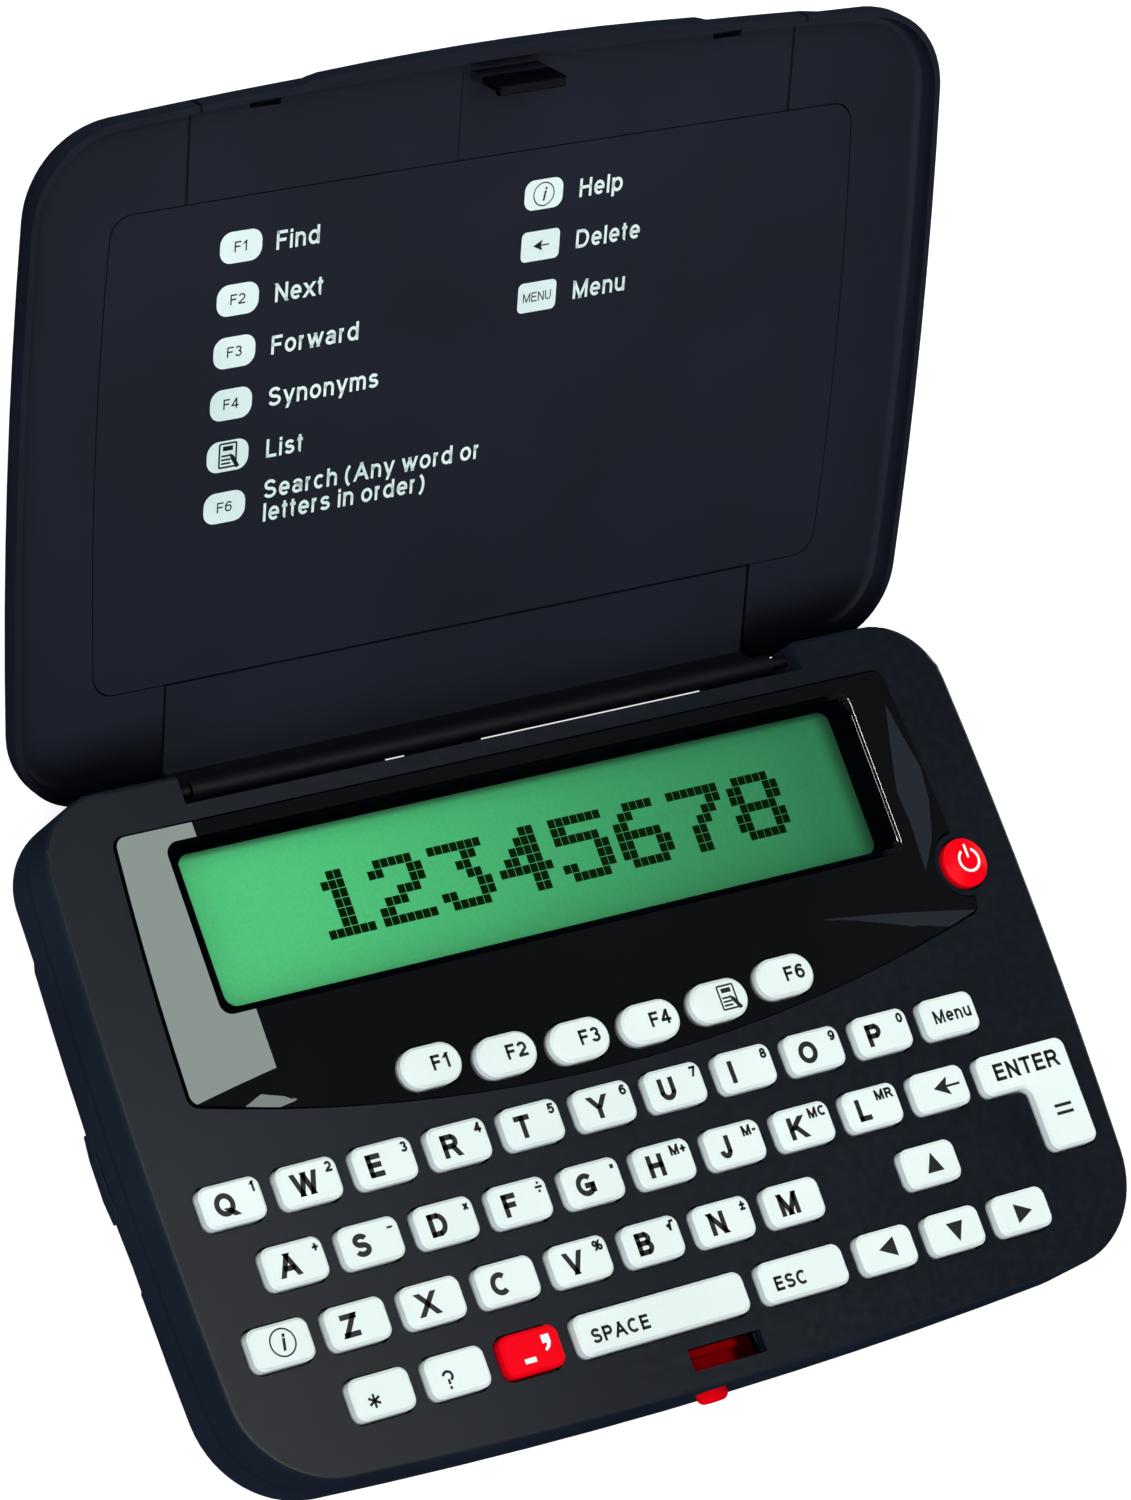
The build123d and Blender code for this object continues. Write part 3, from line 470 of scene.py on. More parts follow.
# Every other node is a white key.
node_materials = {
    "upper_case": case_material,
    "lower_case": case_material,
    "battery_cover": case_material,
    "lid_shell": lid_plastic(),
    "hinge_leaf": leaf_plastic(),
    "lid_panel": grained("panel_grain", LID_NAVY, (0.44, 0.52), grain_scale=6500.0, shine=0.05),
    "display_bezel": bezel_plastic(),
    "lcd_module": display_glass(),
    "circuit_board": board_lacquer_and_painted_shade(),
    "dome_mat": grained("mat_rubber", MAT_GREY, (0.6, 0.8), grain_scale=2500.0),
    "coin_cells": metal("cell_steel", CELL_STEEL, roughness=0.3, scale=400.0),
    "latch_button": latch_plastic(),
    "latch_spring": metal("spring_steel", SPRING_STEEL, roughness=0.35, scale=800.0),
    "case_screws": metal("screw_steel", SCREW_STEEL, roughness=0.4, scale=900.0),
    "key_power": red_material,
    "key_dash": red_material,
}
# Widths in millimetres of the softened edges. Nodes that are neither here nor a key have none.
EDGE_WIDTHS = {"latch_button": 0.2, "upper_case": 0.12, "display_bezel": 0.15}
KEY_EDGE_WIDTH = 0.3
for node_name, node in nodes.items():
    node_material = node_materials.get(node_name, key_material)
    for index in range(len(node.material_slots)):
        node.material_slots[index].material = node_material
    is_key = node_name.startswith("key_")
    edge_width = EDGE_WIDTHS.get(node_name, KEY_EDGE_WIDTH if is_key else 0.0)
    if edge_width:
        softening = node.modifiers.new("soft_edges", "BEVEL")
        softening.width = edge_width * MM
        softening.segments = 3
        softening.limit_method = "ANGLE"
        softening.angle_limit = math.radians(30)
        softening.use_clamp_overlap = node_name != "upper_case"

# ---- printing --------------------------------------------------------------
# How far the print stands off the face that it is on.
PRINT_LIFT = 0.02 * MM

# Strokes of the print, on a letter ten units high: "l" a straight line, "d" a slanted one cut
# level at its ends, "a" an arc by its centre, radii and two angles. The first number is the width.
GLYPHS = {
    "A": "9.4;d 0 0 4.7 10;d 9.4 0 4.7 10;l 2.6 3.2 6.8 3.2",
    "B": (
        "8.0;l 0 0 0 10;l 0 10 4.6 10;l 0 5.3 4.8 5.3;l 0 0 5 0;a 4.8 7.65 2.6 2.35 -90 90;"
        "a 5 2.65 3 2.65 -90 90"
    ),
    "C": "9.0;a 4.7 5 4.7 5 48 312",
    "D": "8.6;l 0 0 0 10;l 0 10 4 10;l 0 0 4 0;a 4 5 4.6 5 -90 90",
    "E": "7.2;l 0 0 0 10;l 0 10 7 10;l 0 5.3 6.5 5.3;l 0 0 7.2 0",
    "F": "6.8;l 0 0 0 10;l 0 10 6.8 10;l 0 5.1 5.9 5.1",
    "G": "9.4;a 4.8 5 4.8 5 45 325;l 9.2 4.4 5.6 4.4;l 9.2 4.4 9.2 1.6",
    "H": "8.0;l 0 0 0 10;l 8 0 8 10;l 0 5.3 8 5.3",
    "I": "1.0;l 0 0 0 10",
    "J": "6.2;l 6.2 10 6.2 3.1;a 3.1 3.1 3.1 3.1 180 360",
    "K": "8.6;l 0 0 0 10;d 0.4 3.7 7.4 10;d 8.6 0 3.2 6.1",
    "L": "6.6;l 0 10 0 0;l 0 0 6.6 0",
    "M": "9.8;l 0 0 0 10;l 9.8 0 9.8 10;d 0.2 10 4.9 0;d 9.6 10 4.9 0",
    "N": "8.0;l 0 0 0 10;l 8 0 8 10;d 0.1 10 7.9 0",
    "O": "9.6;a 4.8 5 4.8 5 0 360",
    "P": "7.8;l 0 0 0 10;l 0 10 4.8 10;l 0 4.5 4.8 4.5;a 4.8 7.25 3 2.75 -90 90",
    "Q": "9.6;a 4.8 5 4.8 5 0 360;d 9.4 -0.4 5.6 3",
    "R": "8.4;l 0 0 0 10;l 0 10 4.8 10;l 0 4.7 4.8 4.7;a 5 7.35 2.8 2.65 -90 90;d 8.2 0 5.2 4.9",
    "S": "8.0;a 4 7.55 3.6 2.45 20 270;a 4 2.55 4 2.55 -160 90",
    "T": "7.8;l 0 10 7.8 10;l 3.9 0 3.9 10",
    "U": "8.0;l 0 10 0 3.8;a 4 3.8 4 3.8 180 360;l 8 3.8 8 10",
    "V": "9.0;d 0 10 4.5 0;d 9 10 4.5 0",
    "W": "12.4;d 0 10 3.1 0;d 6.2 10 3.1 0;d 6.2 10 9.3 0;d 12.4 10 9.3 0",
    "X": "8.8;d 0 0 8.6 10;d 0.1 10 8.8 0",
    "Y": "8.8;d 0 10 4.4 4.2;d 8.8 10 4.4 4.2;l 4.4 0 4.4 4",
    "Z": "7.8;l 0 10 7.8 10;l 0 0 7.8 0;d 0.2 0 7.4 10",
    "0": "7.2;a 3.6 5 3.6 5 0 360",
    "1": "4.4;l 4.4 0 4.4 10;d 0 7.2 4 9.8",
    "2": "7.2;a 3.5 6.9 3.5 3.1 -38 160;d 0.3 0.6 6.4 5.2;l 0 0 7.2 0",
    "3": "7.2;a 3.5 7.6 3.1 2.4 -90 160;a 3.5 2.6 3.6 2.6 -160 90",
    "4": "7.6;l 5.6 0 5.6 10;l 0 2.6 7.6 2.6;d 0.3 3 5 9.8",
    "5": "7.2;l 6.6 10 1.3 10;l 1.3 10 0.8 5.4;a 3.5 3.2 3.6 3.2 -160 125",
    "6": "7.2;a 3.6 3.2 3.6 3.2 0 360;a 4.2 5 4.2 5 45 190",
    "7": "7.0;l 0 10 7 10;d 2.2 0 6.8 10",
    "8": "7.2;a 3.6 7.6 3 2.4 0 360;a 3.6 2.6 3.6 2.6 0 360",
    "9": "7.2;a 3.6 6.8 3.6 3.2 0 360;a 3 5 4.2 5 -135 10",
    "a": "6.8;a 3.3 5.2 3 2.1 0 165;l 6.3 5.2 6.3 0.4;a 3 2.05 3 2.05 0 360;l 3.2 4.1 6.2 4.1",
    "c": "6.6;a 3.5 3.65 3.5 3.65 45 315",
    "d": "7.2;a 3.5 3.65 3.5 3.65 0 360;l 7 0 7 10",
    "e": "6.9;a 3.5 3.65 3.5 3.65 0 315;l 0.4 3.6 6.8 3.6",
    "h": "6.6;l 0 0 0 10;a 3.3 4.2 3.3 3.1 0 180;l 6.6 4.2 6.6 0",
    "i": "1.0;l 0 0 0 6.9;l 0 9.9 0 10",
    "l": "1.0;l 0 0 0 10",
    "m": (
        "10.4;l 0 0 0 7.3;a 2.6 4.7 2.6 2.6 0 180;l 5.2 4.7 5.2 0;a 7.8 4.7 2.6 2.6 0 180;"
        "l 10.4 4.7 10.4 0"
    ),
    "n": "6.6;l 0 0 0 7.3;a 3.3 4.2 3.3 3.1 0 180;l 6.6 4.2 6.6 0",
    "o": "7.2;a 3.6 3.65 3.6 3.65 0 360",
    "p": "7.2;l 0 -2.9 0 7.3;a 3.7 3.65 3.5 3.65 0 360",
    "r": "3.8;l 0 0 0 7.3;a 3.5 4.3 3.5 3 85 180",
    "s": "6.4;a 3.2 5.55 2.8 1.75 20 270;a 3.2 1.9 3.2 1.9 -160 90",
    "t": "3.6;l 1.4 9.4 1.4 1.5;a 2.9 1.5 1.5 1.5 180 275;l 0 7.3 3.2 7.3",
    "u": "6.6;l 0 7.3 0 3.1;a 3.3 3.1 3.3 3.1 180 360;l 6.6 0 6.6 7.3",
    "w": "10.0;d 0 7.3 2.5 0;d 5 7.3 2.5 0;d 5 7.3 7.5 0;d 10 7.3 7.5 0",
    "x": "6.8;d 0 0 6.6 7.3;d 0.1 7.3 6.8 0",
    "y": "6.8;d 0 7.3 3.5 0;d 6.8 7.3 2.6 -2.9",
    "(": "4.2;a 7 3.7 7 7.2 118 242",
    ")": "4.2;a -2.8 3.7 7 7.2 -62 62",
    "+": "6.0;l 0 4.2 6 4.2;l 3 1.2 3 7.2",
    "-": "4.0;l 0 4 4 4",
    "×": "5.6;l 0.3 1.6 5.3 6.6;l 0.3 6.6 5.3 1.6",
    "÷": "7.4;l 0 4.2 7.4 4.2;l 3.7 9.4 3.7 9.5;l 3.7 -1 3.7 -1.1",
    "±": "6.0;l 0 6 6 6;l 3 3 3 9;l 0 0.4 6 0.4",
    "%": "11.0;a 2.4 7.5 2.3 2.5 0 360;a 8.6 2.5 2.3 2.5 0 360;d 2.8 0 8.2 10",
    "√": "8.4;l 0 5 1.2 5.6;d 3 0 1.2 5.6;d 3 0 5 10;l 5 10 8.4 10",
    "?": "6.8;a 3.4 7.1 3.4 2.9 -60 165;l 3.4 3 3.4 4.4;l 3.4 0 3.4 0.1",
}
LETTER_HEIGHT = 10
SMALL_HEIGHT = 7.3
LETTER_GAP = 1.7
WORD_GAP = 5.2
ARC_STEP = math.radians(9)
# An arc that turns further than this, in radians, closes into a ring.
FULL_TURN = 6.28


def ribbon(points, half, closed=False):
    """Band of even thickness along points."""
    count = len(points)
    vertices = []
    for index, (x, y) in enumerate(points):
        before = points[index - 1] if index or closed else points[0]
        after = points[(index + 1) % count] if index < count - 1 or closed else points[-1]
        across = Vector((before[1] - after[1], after[0] - before[0])).normalized() * half
        vertices += [(x + across.x, y + across.y), (x - across.x, y - across.y)]
    faces = []
    for index in range(count if closed else count - 1):
        following = (index + 1) % count
        faces.append((2 * index, 2 * index + 1, 2 * following + 1, 2 * following))
    return vertices, faces


def arc_shape(centre, radii, angles, half):
    """Band along an arc between two angles, or all round."""
    start, end = (math.radians(angle) for angle in angles)
    turn = end - start
    count = max(2, round(abs(turn) / ARC_STEP))
    closed = abs(turn) > FULL_TURN
    points = []
    for index in range(count if closed else count + 1):
        angle = start + turn * index / count
        x = centre[0] + radii[0] * math.cos(angle)
        points.append((x, centre[1] + radii[1] * math.sin(angle)))
    return ribbon(points, half, closed)


def slant_shape(ends, heights, along, half):
    """Slanted stroke whose ends are cut level with the letter's foot and head."""
    level = half / abs(along.y)
    corners = []
    for (x, y), height in zip(ends, heights):
        reach = half if height >= SMALL_HEIGHT else -half if height <= 0 else 0.0
        shift = reach * along.x / along.y
        corners += [(x + shift - level, y + reach), (x + shift + level, y + reach)]
    return corners, [(0, 1, 3, 2)]


def stroke_shape(kind, values, width, line):
    """Outline of one stroke, its outer edge kept within the letter's height and width."""
    half = line / 2
    shrink_x = max(width - line, 0.0) / width
    shrink_y = (LETTER_HEIGHT - line) / LETTER_HEIGHT
    first = (half + values[0] * shrink_x, half + values[1] * shrink_y)
    if kind == "a":
        radii = (values[2] * shrink_x, values[3] * shrink_y)
        return arc_shape(first, radii, values[4:], half)
    last = (half + values[2] * shrink_x, half + values[3] * shrink_y)
    along = Vector((last[0] - first[0], last[1] - first[1])).normalized()
    if kind == "d":
        return slant_shape((first, last), (values[1], values[3]), along, half)
    start = (first[0] - along.x * half, first[1] - along.y * half)
    end = (last[0] + along.x * half, last[1] + along.y * half)
    return ribbon([start, end], half)


def text_shape(words, line):
    """Vertices and faces of words on letters ten units high, with strokes of one thickness."""
    vertices, faces = [], []
    pen = 0.0
    for letter in words:
        if letter == " ":
            pen += WORD_GAP - LETTER_GAP
            continue
        width, *strokes = GLYPHS[letter].split(";")
        width = max(float(width), line)
        for stroke in strokes:
            kind, *values = stroke.split()
            points, shapes = stroke_shape(kind, [float(value) for value in values], width, line)
            start = len(vertices)
            vertices += [(pen + x, y) for x, y in points]
            faces += [tuple(start + i for i in shape) for shape in shapes]
        pen += width + LETTER_GAP
    return vertices, faces


def mesh_object(name, vertices, faces, material, body):
    """Flat printed shape that rides on a body."""
    mesh = bpy.data.meshes.new(name)
    mesh.from_pydata(vertices, [], faces)
    mesh.materials.append(material)
    piece = bpy.data.objects.new(name, mesh)
    bpy.context.scene.collection.objects.link(piece)
    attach(piece, body)


class Sheet:
    """Collects printed marks in millimetres on one flat face, then makes one piece of them."""

    def __init__(self, name, place, material, body, slot):
        self.name = name
        self.place = place
        self.material = material
        self.body = body
        self.slot = slot
        self.vertices = []
        self.faces = []

    def add(self, vertices, faces):
        """Adds a shape given in millimetres on the face."""
        start = len(self.vertices)
        self.vertices += [Vector((v[0] * MM, v[1] * MM, PRINT_LIFT)) for v in vertices]
        self.faces += [tuple(start + i for i in face) for face in faces]

    def words(self, words, x, y, cap, align="left", line=1.7, stretch=1.0, slant=0.0):
        """Words with their letters' feet on y. The line is in tenths of the capitals' height."""
        vertices, faces = text_shape(words, line)
        scale = cap / LETTER_HEIGHT
        low = min(v[0] for v in vertices)
        high = max(v[0] for v in vertices)
        shift = {"left": low, "centre": (low + high) / 2, "right": high}[align]
        placed = []
        for px, py in vertices:
            across = x + (px - shift) * scale * stretch + slant * py * scale
            placed.append((across, y + py * scale))
        self.add(placed, faces)

    def polygon(self, points):
        """Filled outline."""
        self.add(points, [tuple(range(len(points)))])

    def bar(self, x, y, width, height):
        """Filled rectangle by its centre."""
        w = width / 2
        h = height / 2
        self.polygon([(x - w, y - h), (x + w, y - h), (x + w, y + h), (x - w, y + h)])

    def ring(self, x, y, radius, line, start=0.0, sweep=360.0):
        """Ring or part of one."""
        count = 48
        points = []
        for index in range(count + 1):
            angle = math.radians(start + sweep * index / count)
            for reach in (radius - line / 2, radius + line / 2):
                points.append((x + reach * math.cos(angle), y + reach * math.sin(angle)))
        faces = [(2 * i, 2 * i + 1, 2 * i + 3, 2 * i + 2) for i in range(count)]
        self.add(points, faces)

    def rounded(self, x, y, width, height, radius):
        """Filled rectangle with round corners."""
        count = 8
        points = []
        for quarter, (side_x, side_y) in enumerate([(1, 1), (-1, 1), (-1, -1), (1, -1)]):
            middle_x = x + side_x * (width / 2 - radius)
            middle_y = y + side_y * (height / 2 - radius)
            for index in range(count + 1):
                angle = math.radians(90 * quarter + 90 * index / count)
                across = middle_x + radius * math.cos(angle)
                points.append((across, middle_y + radius * math.sin(angle)))
        self.polygon(points)

    def list_icon(self, x, y, scale):
        """Sheet of paper with a heading, lines and a pencil."""
        line = 0.2 * scale
        width = 2.0 * scale
        height = 2.6 * scale
        self.bar(x, y + height / 2, width, line)
        self.bar(x, y - height / 2, width, line)
        self.bar(x - width / 2, y, line, height)
        self.bar(x + width / 2, y + 0.3 * scale, line, height - 0.6 * scale)
        self.bar(x, y + 0.75 * scale, 1.2 * scale, 0.5 * scale)
        for row in range(3):
            self.bar(x - 0.2 * scale, y - (0.05 + 0.42 * row) * scale, 1.1 * scale, line)
        pencil = [(0.2, 0.2), (0.75, -0.15), (1.45, -1.35), (1.05, -1.55), (0.35, -0.4)]
        self.polygon([(x + px * scale, y + py * scale) for px, py in pencil])

    def left_arrow(self, x, y, scale):
        """Arrow to the left with a barbed head."""
        head = [(-1.9, 0), (0.35, 1.15), (-0.1, 0), (0.35, -1.15)]
        self.polygon([(x + px * scale, y + py * scale) for px, py in head])
        self.bar(x + 0.9 * scale, y, 2.0 * scale, 0.28 * scale)

    def make(self):
        """Makes the piece."""
        vertices = [self.place @ v for v in self.vertices]
        mesh_object(self.name, vertices, self.faces, self.material, self.body)


def on_key(key, material=key_print_material):
    """Sheet whose origin is the centre of a key's face."""
    low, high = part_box(key)
    place = Matrix.Translation(((low[0] + high[0]) / 2, (low[1] + high[1]) / 2, high[2]))
    return Sheet(f"print_{key}", place, material, key, "key_white")


# ---- print on the keys -----------------------------------------------------
LETTER = {"x": -2.55, "y": -1.45, "cap": 2.82, "line": 2.35}
SIGN = {"x": 3.35, "y": 0.65, "cap": 1.3, "line": 2.4, "align": "right"}
SIGNS = {
    **dict(zip("qwertyuiop", "1234567890")),
    **{"a": "+", "d": "×", "f": "÷", "h": "M+", "j": "M-", "k": "MC", "l": "MR"},
    **{"v": "%", "b": "√", "n": "±"},
}
# Signs that are one small bar.
BAR_SIGNS = {
    "s": {"x": 2.75, "y": 1.2, "width": 0.75, "height": 0.26},
    "g": {"x": 3.0, "y": 1.35, "width": 0.5, "height": 0.5},
}
for letter in "qwertyuiopasdfghjklzxcvbnm":
    sheet = on_key(f"key_{letter}")
    sheet.words(letter.upper(), **LETTER)
    if letter in SIGNS:
        sheet.words(SIGNS[letter], **SIGN)
    if letter in BAR_SIGNS:
        sheet.bar(**BAR_SIGNS[letter])
    sheet.make()

sheet = on_key("key_menu")
sheet.words("Menu", x=3.1, y=-0.75, cap=1.7, align="right", line=1.9, stretch=0.95)
sheet.make()

sheet = on_key("key_back")
sheet.left_arrow(x=0.9, y=0.15, scale=1.05)
sheet.make()

sheet = on_key("key_info")
sheet.ring(x=0.15, y=0.15, radius=1.65, line=0.2)
sheet.words("i", x=0.1, y=-0.85, cap=2.0, align="centre", line=1.9, slant=0.2)
sheet.make()

STAR_CENTRE = Vector((-1.4, -0.55))
STAR_RADIUS = 0.85
STAR_HALF_LINE = 0.16
sheet = on_key("key_star")
for turn in range(3):
    angle = math.radians(90 + 60 * turn)
    across = Vector((math.cos(angle), math.sin(angle))) * STAR_RADIUS
    side = Vector((-math.sin(angle), math.cos(angle))) * STAR_HALF_LINE
    start, end = STAR_CENTRE - across, STAR_CENTRE + across
    sheet.polygon([start - side, end - side, end + side, start + side])
sheet.make()

sheet = on_key("key_question")
sheet.words("?", x=-1.6, y=-1.7, cap=2.3, align="centre", line=1.5)
sheet.make()

APOSTROPHE = [
    (1.5, 1.5), (2.65, 1.5), (2.65, 0.5), (2.35, -0.1), (1.75, -0.5),
    (1.55, -0.2), (1.95, 0.1), (2.1, 0.5), (1.5, 0.5),
]
sheet = on_key("key_dash", lid_print_material)
sheet.bar(x=-0.75, y=-1.05, width=1.6, height=0.6)
sheet.polygon(APOSTROPHE)
sheet.make()

WORD = {"y": -1.25, "cap": 1.8, "line": 2.1, "stretch": 0.95}
sheet = on_key("key_space")
sheet.words("SPACE", x=-10.45, **WORD)
sheet.make()
sheet = on_key("key_escape")
sheet.words("ESC", x=-4.55, **WORD)
sheet.make()

TRIANGLE = [(0, 1.25), (-1.25, -1.25), (1.25, -1.25)]
# Arrow keys: name, quarter turns of the triangle, and its place.
ARROWS = [
    ("up", 0, 0.25, 0.15),
    ("left", 1, -0.1, 0.15),
    ("down", 2, 0.05, -0.25),
    ("right", 3, 0.1, -0.15),
]
for name, turns, x, y in ARROWS:
    sheet = on_key(f"key_{name}")
    cosine, sine = math.cos(math.radians(90 * turns)), math.sin(math.radians(90 * turns))
    corners = [(x + px * cosine - py * sine, y + px * sine + py * cosine) for px, py in TRIANGLE]
    sheet.polygon(corners)
    sheet.make()

sheet = on_key("key_enter")
sheet.words("ENTER", x=0.25, y=3.35, cap=2.2, align="centre", line=2.0)
for y in (-2.55, -1.55):
    sheet.bar(x=3.35, y=y, width=2.6, height=0.4)
sheet.make()

# The fifth function key has the list icon instead of words.
FUNCTION_LABELS = ["F1", "F2", "F3", "F4", None, "F6"]
for number, label in enumerate(FUNCTION_LABELS, start=1):
    sheet = on_key(f"key_function_{number}")
    if label:
        sheet.words(label, x=1.3, y=-0.8, cap=1.85, align="centre", line=2.0)
    else:
        sheet.list_icon(x=1.2, y=0.1, scale=1.15)
    sheet.make()

sheet = on_key("key_power", lid_print_material)
sheet.ring(x=0.2, y=0.1, radius=1.45, line=0.36, start=120, sweep=300)
sheet.bar(x=0.2, y=1.3, width=0.36, height=1.8)
sheet.make()

# ---- display dots ----------------------------------------------------------
DIGIT_ROWS = {
    "1": ["0001100", "0011100", "0001100", "0001100", "0001100", "0001100", "0111111"],
    "2": ["0111110", "1100011", "0000011", "0001110", "0111000", "1100000", "1111111"],
    "3": ["1111111", "0000110", "0001100", "0000110", "0000011", "1100011", "0111110"],
    "4": ["0000110", "0001110", "0011110", "0110110", "1111111", "0000110", "0000110"],
    "5": ["1111111", "1100000", "1111110", "0000011", "0000011", "1100011", "0111110"],
    "6": ["0011110", "0110000", "1100000", "1111110", "1100011", "1100011", "0111110"],
    "7": ["1111111", "0000011", "0000110", "0001100", "0011000", "0011000", "0011000"],
    "8": ["0111110", "1100011", "1100011", "0111110", "1100011", "1100011", "0111110"],
}
DOT_PITCH_X = 1.1
DOT_PITCH_Y = 1.2
CHARACTER_PITCH = 8.8
DOT_FILL = 0.92
TEXT_LEFT = -32.4
TEXT_TOP = 3.9
glass_low, glass_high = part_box("lcd_module")
glass_place = Matrix.Translation((0, (glass_low[1] + glass_high[1]) / 2, glass_high[2]))
dots = Sheet("display_dots", glass_place, dot_material, "base", "lcd_glass")
for place_number, digit in enumerate("12345678"):
    for row, squares in enumerate(DIGIT_ROWS[digit]):
        for column, lit in enumerate(squares):
            if lit == "1":
                across = place_number * CHARACTER_PITCH + (column + 0.5) * DOT_PITCH_X
                down = (row + 0.5) * DOT_PITCH_Y
                size = (DOT_PITCH_X * DOT_FILL, DOT_PITCH_Y * DOT_FILL)
                dots.bar(TEXT_LEFT + across, TEXT_TOP - down, *size)
dots.make()

# ---- lid print -------------------------------------------------------------
closed_panel = [lid_open.inverted() @ vertex.co for vertex in nodes["lid_panel"].data.vertices]
panel_face_z = min(vertex.z for vertex in closed_panel)
panel_middle_y = (min(v.y for v in closed_panel) + max(v.y for v in closed_panel)) / 2
panel_face = Matrix.Translation((0, panel_middle_y, panel_face_z))
lid_place = lid_open @ panel_face @ Matrix.Rotation(math.pi, 4, "X")
label_place = lid_place @ Matrix.Translation((0, 0, PRINT_LIFT))
lid_words = Sheet("lid_print", lid_place, lid_print_material, "lid", "key_white")
lid_labels = Sheet("lid_labels", label_place, key_print_material, "lid", "key_white")
LID_ROW = 6.5
LID_LINE = 2.95
LID_CAP = 2.35
LID_TYPE = {"cap": LID_CAP, "line": 1.7, "stretch": 0.92}

LEFT_X = -34.9
LEFT_DRIFT = -0.13
LEFT_TOP = 23.9
LEFT_WORD_X = 4.8
TWO_LINE_RISE = 1.3
LEFT_ENTRIES = [
    ("F1", ["Find"]),
    ("F2", ["Next"]),
    ("F3", ["Forward"]),
    ("F4", ["Synonyms"]),
    (None, ["List"]),
    ("F6", ["Search (Any word or", "letters in order)"]),
]
for row, (label, lines) in enumerate(LEFT_ENTRIES):
    x = LEFT_X + LEFT_DRIFT * row
    y = LEFT_TOP - row * LID_ROW
    lid_words.rounded(x, y, width=5.7, height=3.9, radius=1.55)
    if label:
        lid_labels.words(label, x, y - 0.6, cap=1.3, align="centre", line=1.4)
    else:
        lid_labels.list_icon(x, y + 0.1, scale=1.15)
    foot = y - LID_CAP / 2 + (TWO_LINE_RISE if len(lines) > 1 else 0.0)
    for line_number, words in enumerate(lines):
        lid_words.words(words, LEFT_X + LEFT_WORD_X, foot - LID_LINE * line_number, **LID_TYPE)

RIGHT_X = 7.2
RIGHT_TOP = 24.3
RIGHT_WORD_X = 5.2
# Label, the radius of its patch's corners, and the word beside it.
RIGHT_ENTRIES = [("i", 1.3, "Help"), ("arrow", 0.7, "Delete"), ("MENU", 0.7, "Menu")]
for row, (label, corner, words) in enumerate(RIGHT_ENTRIES):
    x = RIGHT_X
    y = RIGHT_TOP - row * LID_ROW
    lid_words.rounded(x, y, width=5.5, height=3.8, radius=corner)
    if label == "i":
        lid_labels.ring(x, y, radius=1.45, line=0.15)
        lid_labels.words("i", x, y - 0.85, cap=1.7, align="centre", line=1.6, slant=0.2)
    elif label == "arrow":
        lid_labels.left_arrow(x + 0.1, y, scale=0.6)
    else:
        lid_labels.words(label, x, y - 0.6, cap=1.2, align="centre", line=1.3, stretch=0.88)
    lid_words.words(words, x + RIGHT_WORD_X, y - LID_CAP / 2, **LID_TYPE)
lid_words.make()
lid_labels.make()

# ---- floor and world -------------------------------------------------------
FLOOR_REACH = 4.0
FLOOR_DROP = 0.2 * MM
FLOOR_GREY = (0.42, 0.42, 0.42, 1)
# What the floor adds to its light where the camera, a mirror or glass shows it.
FLOOR_LIFT = 0.8
WORLD_COLOUR = (0.9, 0.95, 1.0, 1)
WORLD_STRENGTH = 0.04

floor_mesh = bpy.data.meshes.new("floor")
corner_signs = [(-1, -1), (1, -1), (1, 1), (-1, 1)]
floor_corners = [(x * FLOOR_REACH, y * FLOOR_REACH, 0) for x, y in corner_signs]
floor_mesh.from_pydata(floor_corners, [], [(0, 1, 2, 3)])
floor = bpy.data.objects.new("floor", floor_mesh)
bpy.context.scene.collection.objects.link(floor)
floor.location.z = -FLOOR_DROP
floor_material, floor_tree, floor_shader = new_material("floor_white")
floor_shader.inputs["Base Color"].default_value = FLOOR_GREY
floor_shader.inputs["Roughness"].default_value = 0.9
light_path = floor_tree.nodes.new("ShaderNodeLightPath")
seen = light_path.outputs["Is Camera Ray"]
for kind in ("Is Glossy Ray", "Is Transmission Ray"):
    either = floor_tree.nodes.new("ShaderNodeMath")
    either.operation = "MAXIMUM"
    floor_tree.links.new(seen, either.inputs[0])
    floor_tree.links.new(light_path.outputs[kind], either.inputs[1])
    seen = either.outputs["Value"]
lift = floor_tree.nodes.new("ShaderNodeMath")
lift.operation = "MULTIPLY"
lift.inputs[1].default_value = FLOOR_LIFT
floor_tree.links.new(seen, lift.inputs[0])
floor_shader.inputs["Emission Color"].default_value = (1, 1, 1, 1)
floor_tree.links.new(lift.outputs["Value"], floor_shader.inputs["Emission Strength"])
floor_mesh.materials.append(floor_material)

world = bpy.data.worlds.new("studio")
bpy.context.scene.world = world
world.use_nodes = True
background = world.node_tree.nodes["Background"]
background.inputs["Color"].default_value = WORLD_COLOUR
background.inputs["Strength"].default_value = WORLD_STRENGTH


# ---- lamps and mirror cards ------------------------------------------------
def area_light(name, place, target, size, radiance, colour):
    """Rectangular lamp turned to a point, by the brightness of its face. Metres."""
    data = bpy.data.lights.new(name, "AREA")
    data.color = colour
    data.shape = "RECTANGLE"
    data.size, data.size_y = size
    data.energy = radiance * math.pi * size[0] * size[1]
    lamp = bpy.data.objects.new(name, data)
    lamp.location = place
    lamp.rotation_mode = "QUATERNION"
    lamp.rotation_quaternion = (Vector(target) - Vector(place)).to_track_quat("-Z", "Y")
    bpy.context.scene.collection.objects.link(lamp)


CENTRE = (0, 0, 0)
WHITE = (1, 1, 1)
COOL = (0.8, 0.9, 1.0)
PALE_GREEN = (0.86, 1.0, 0.92)
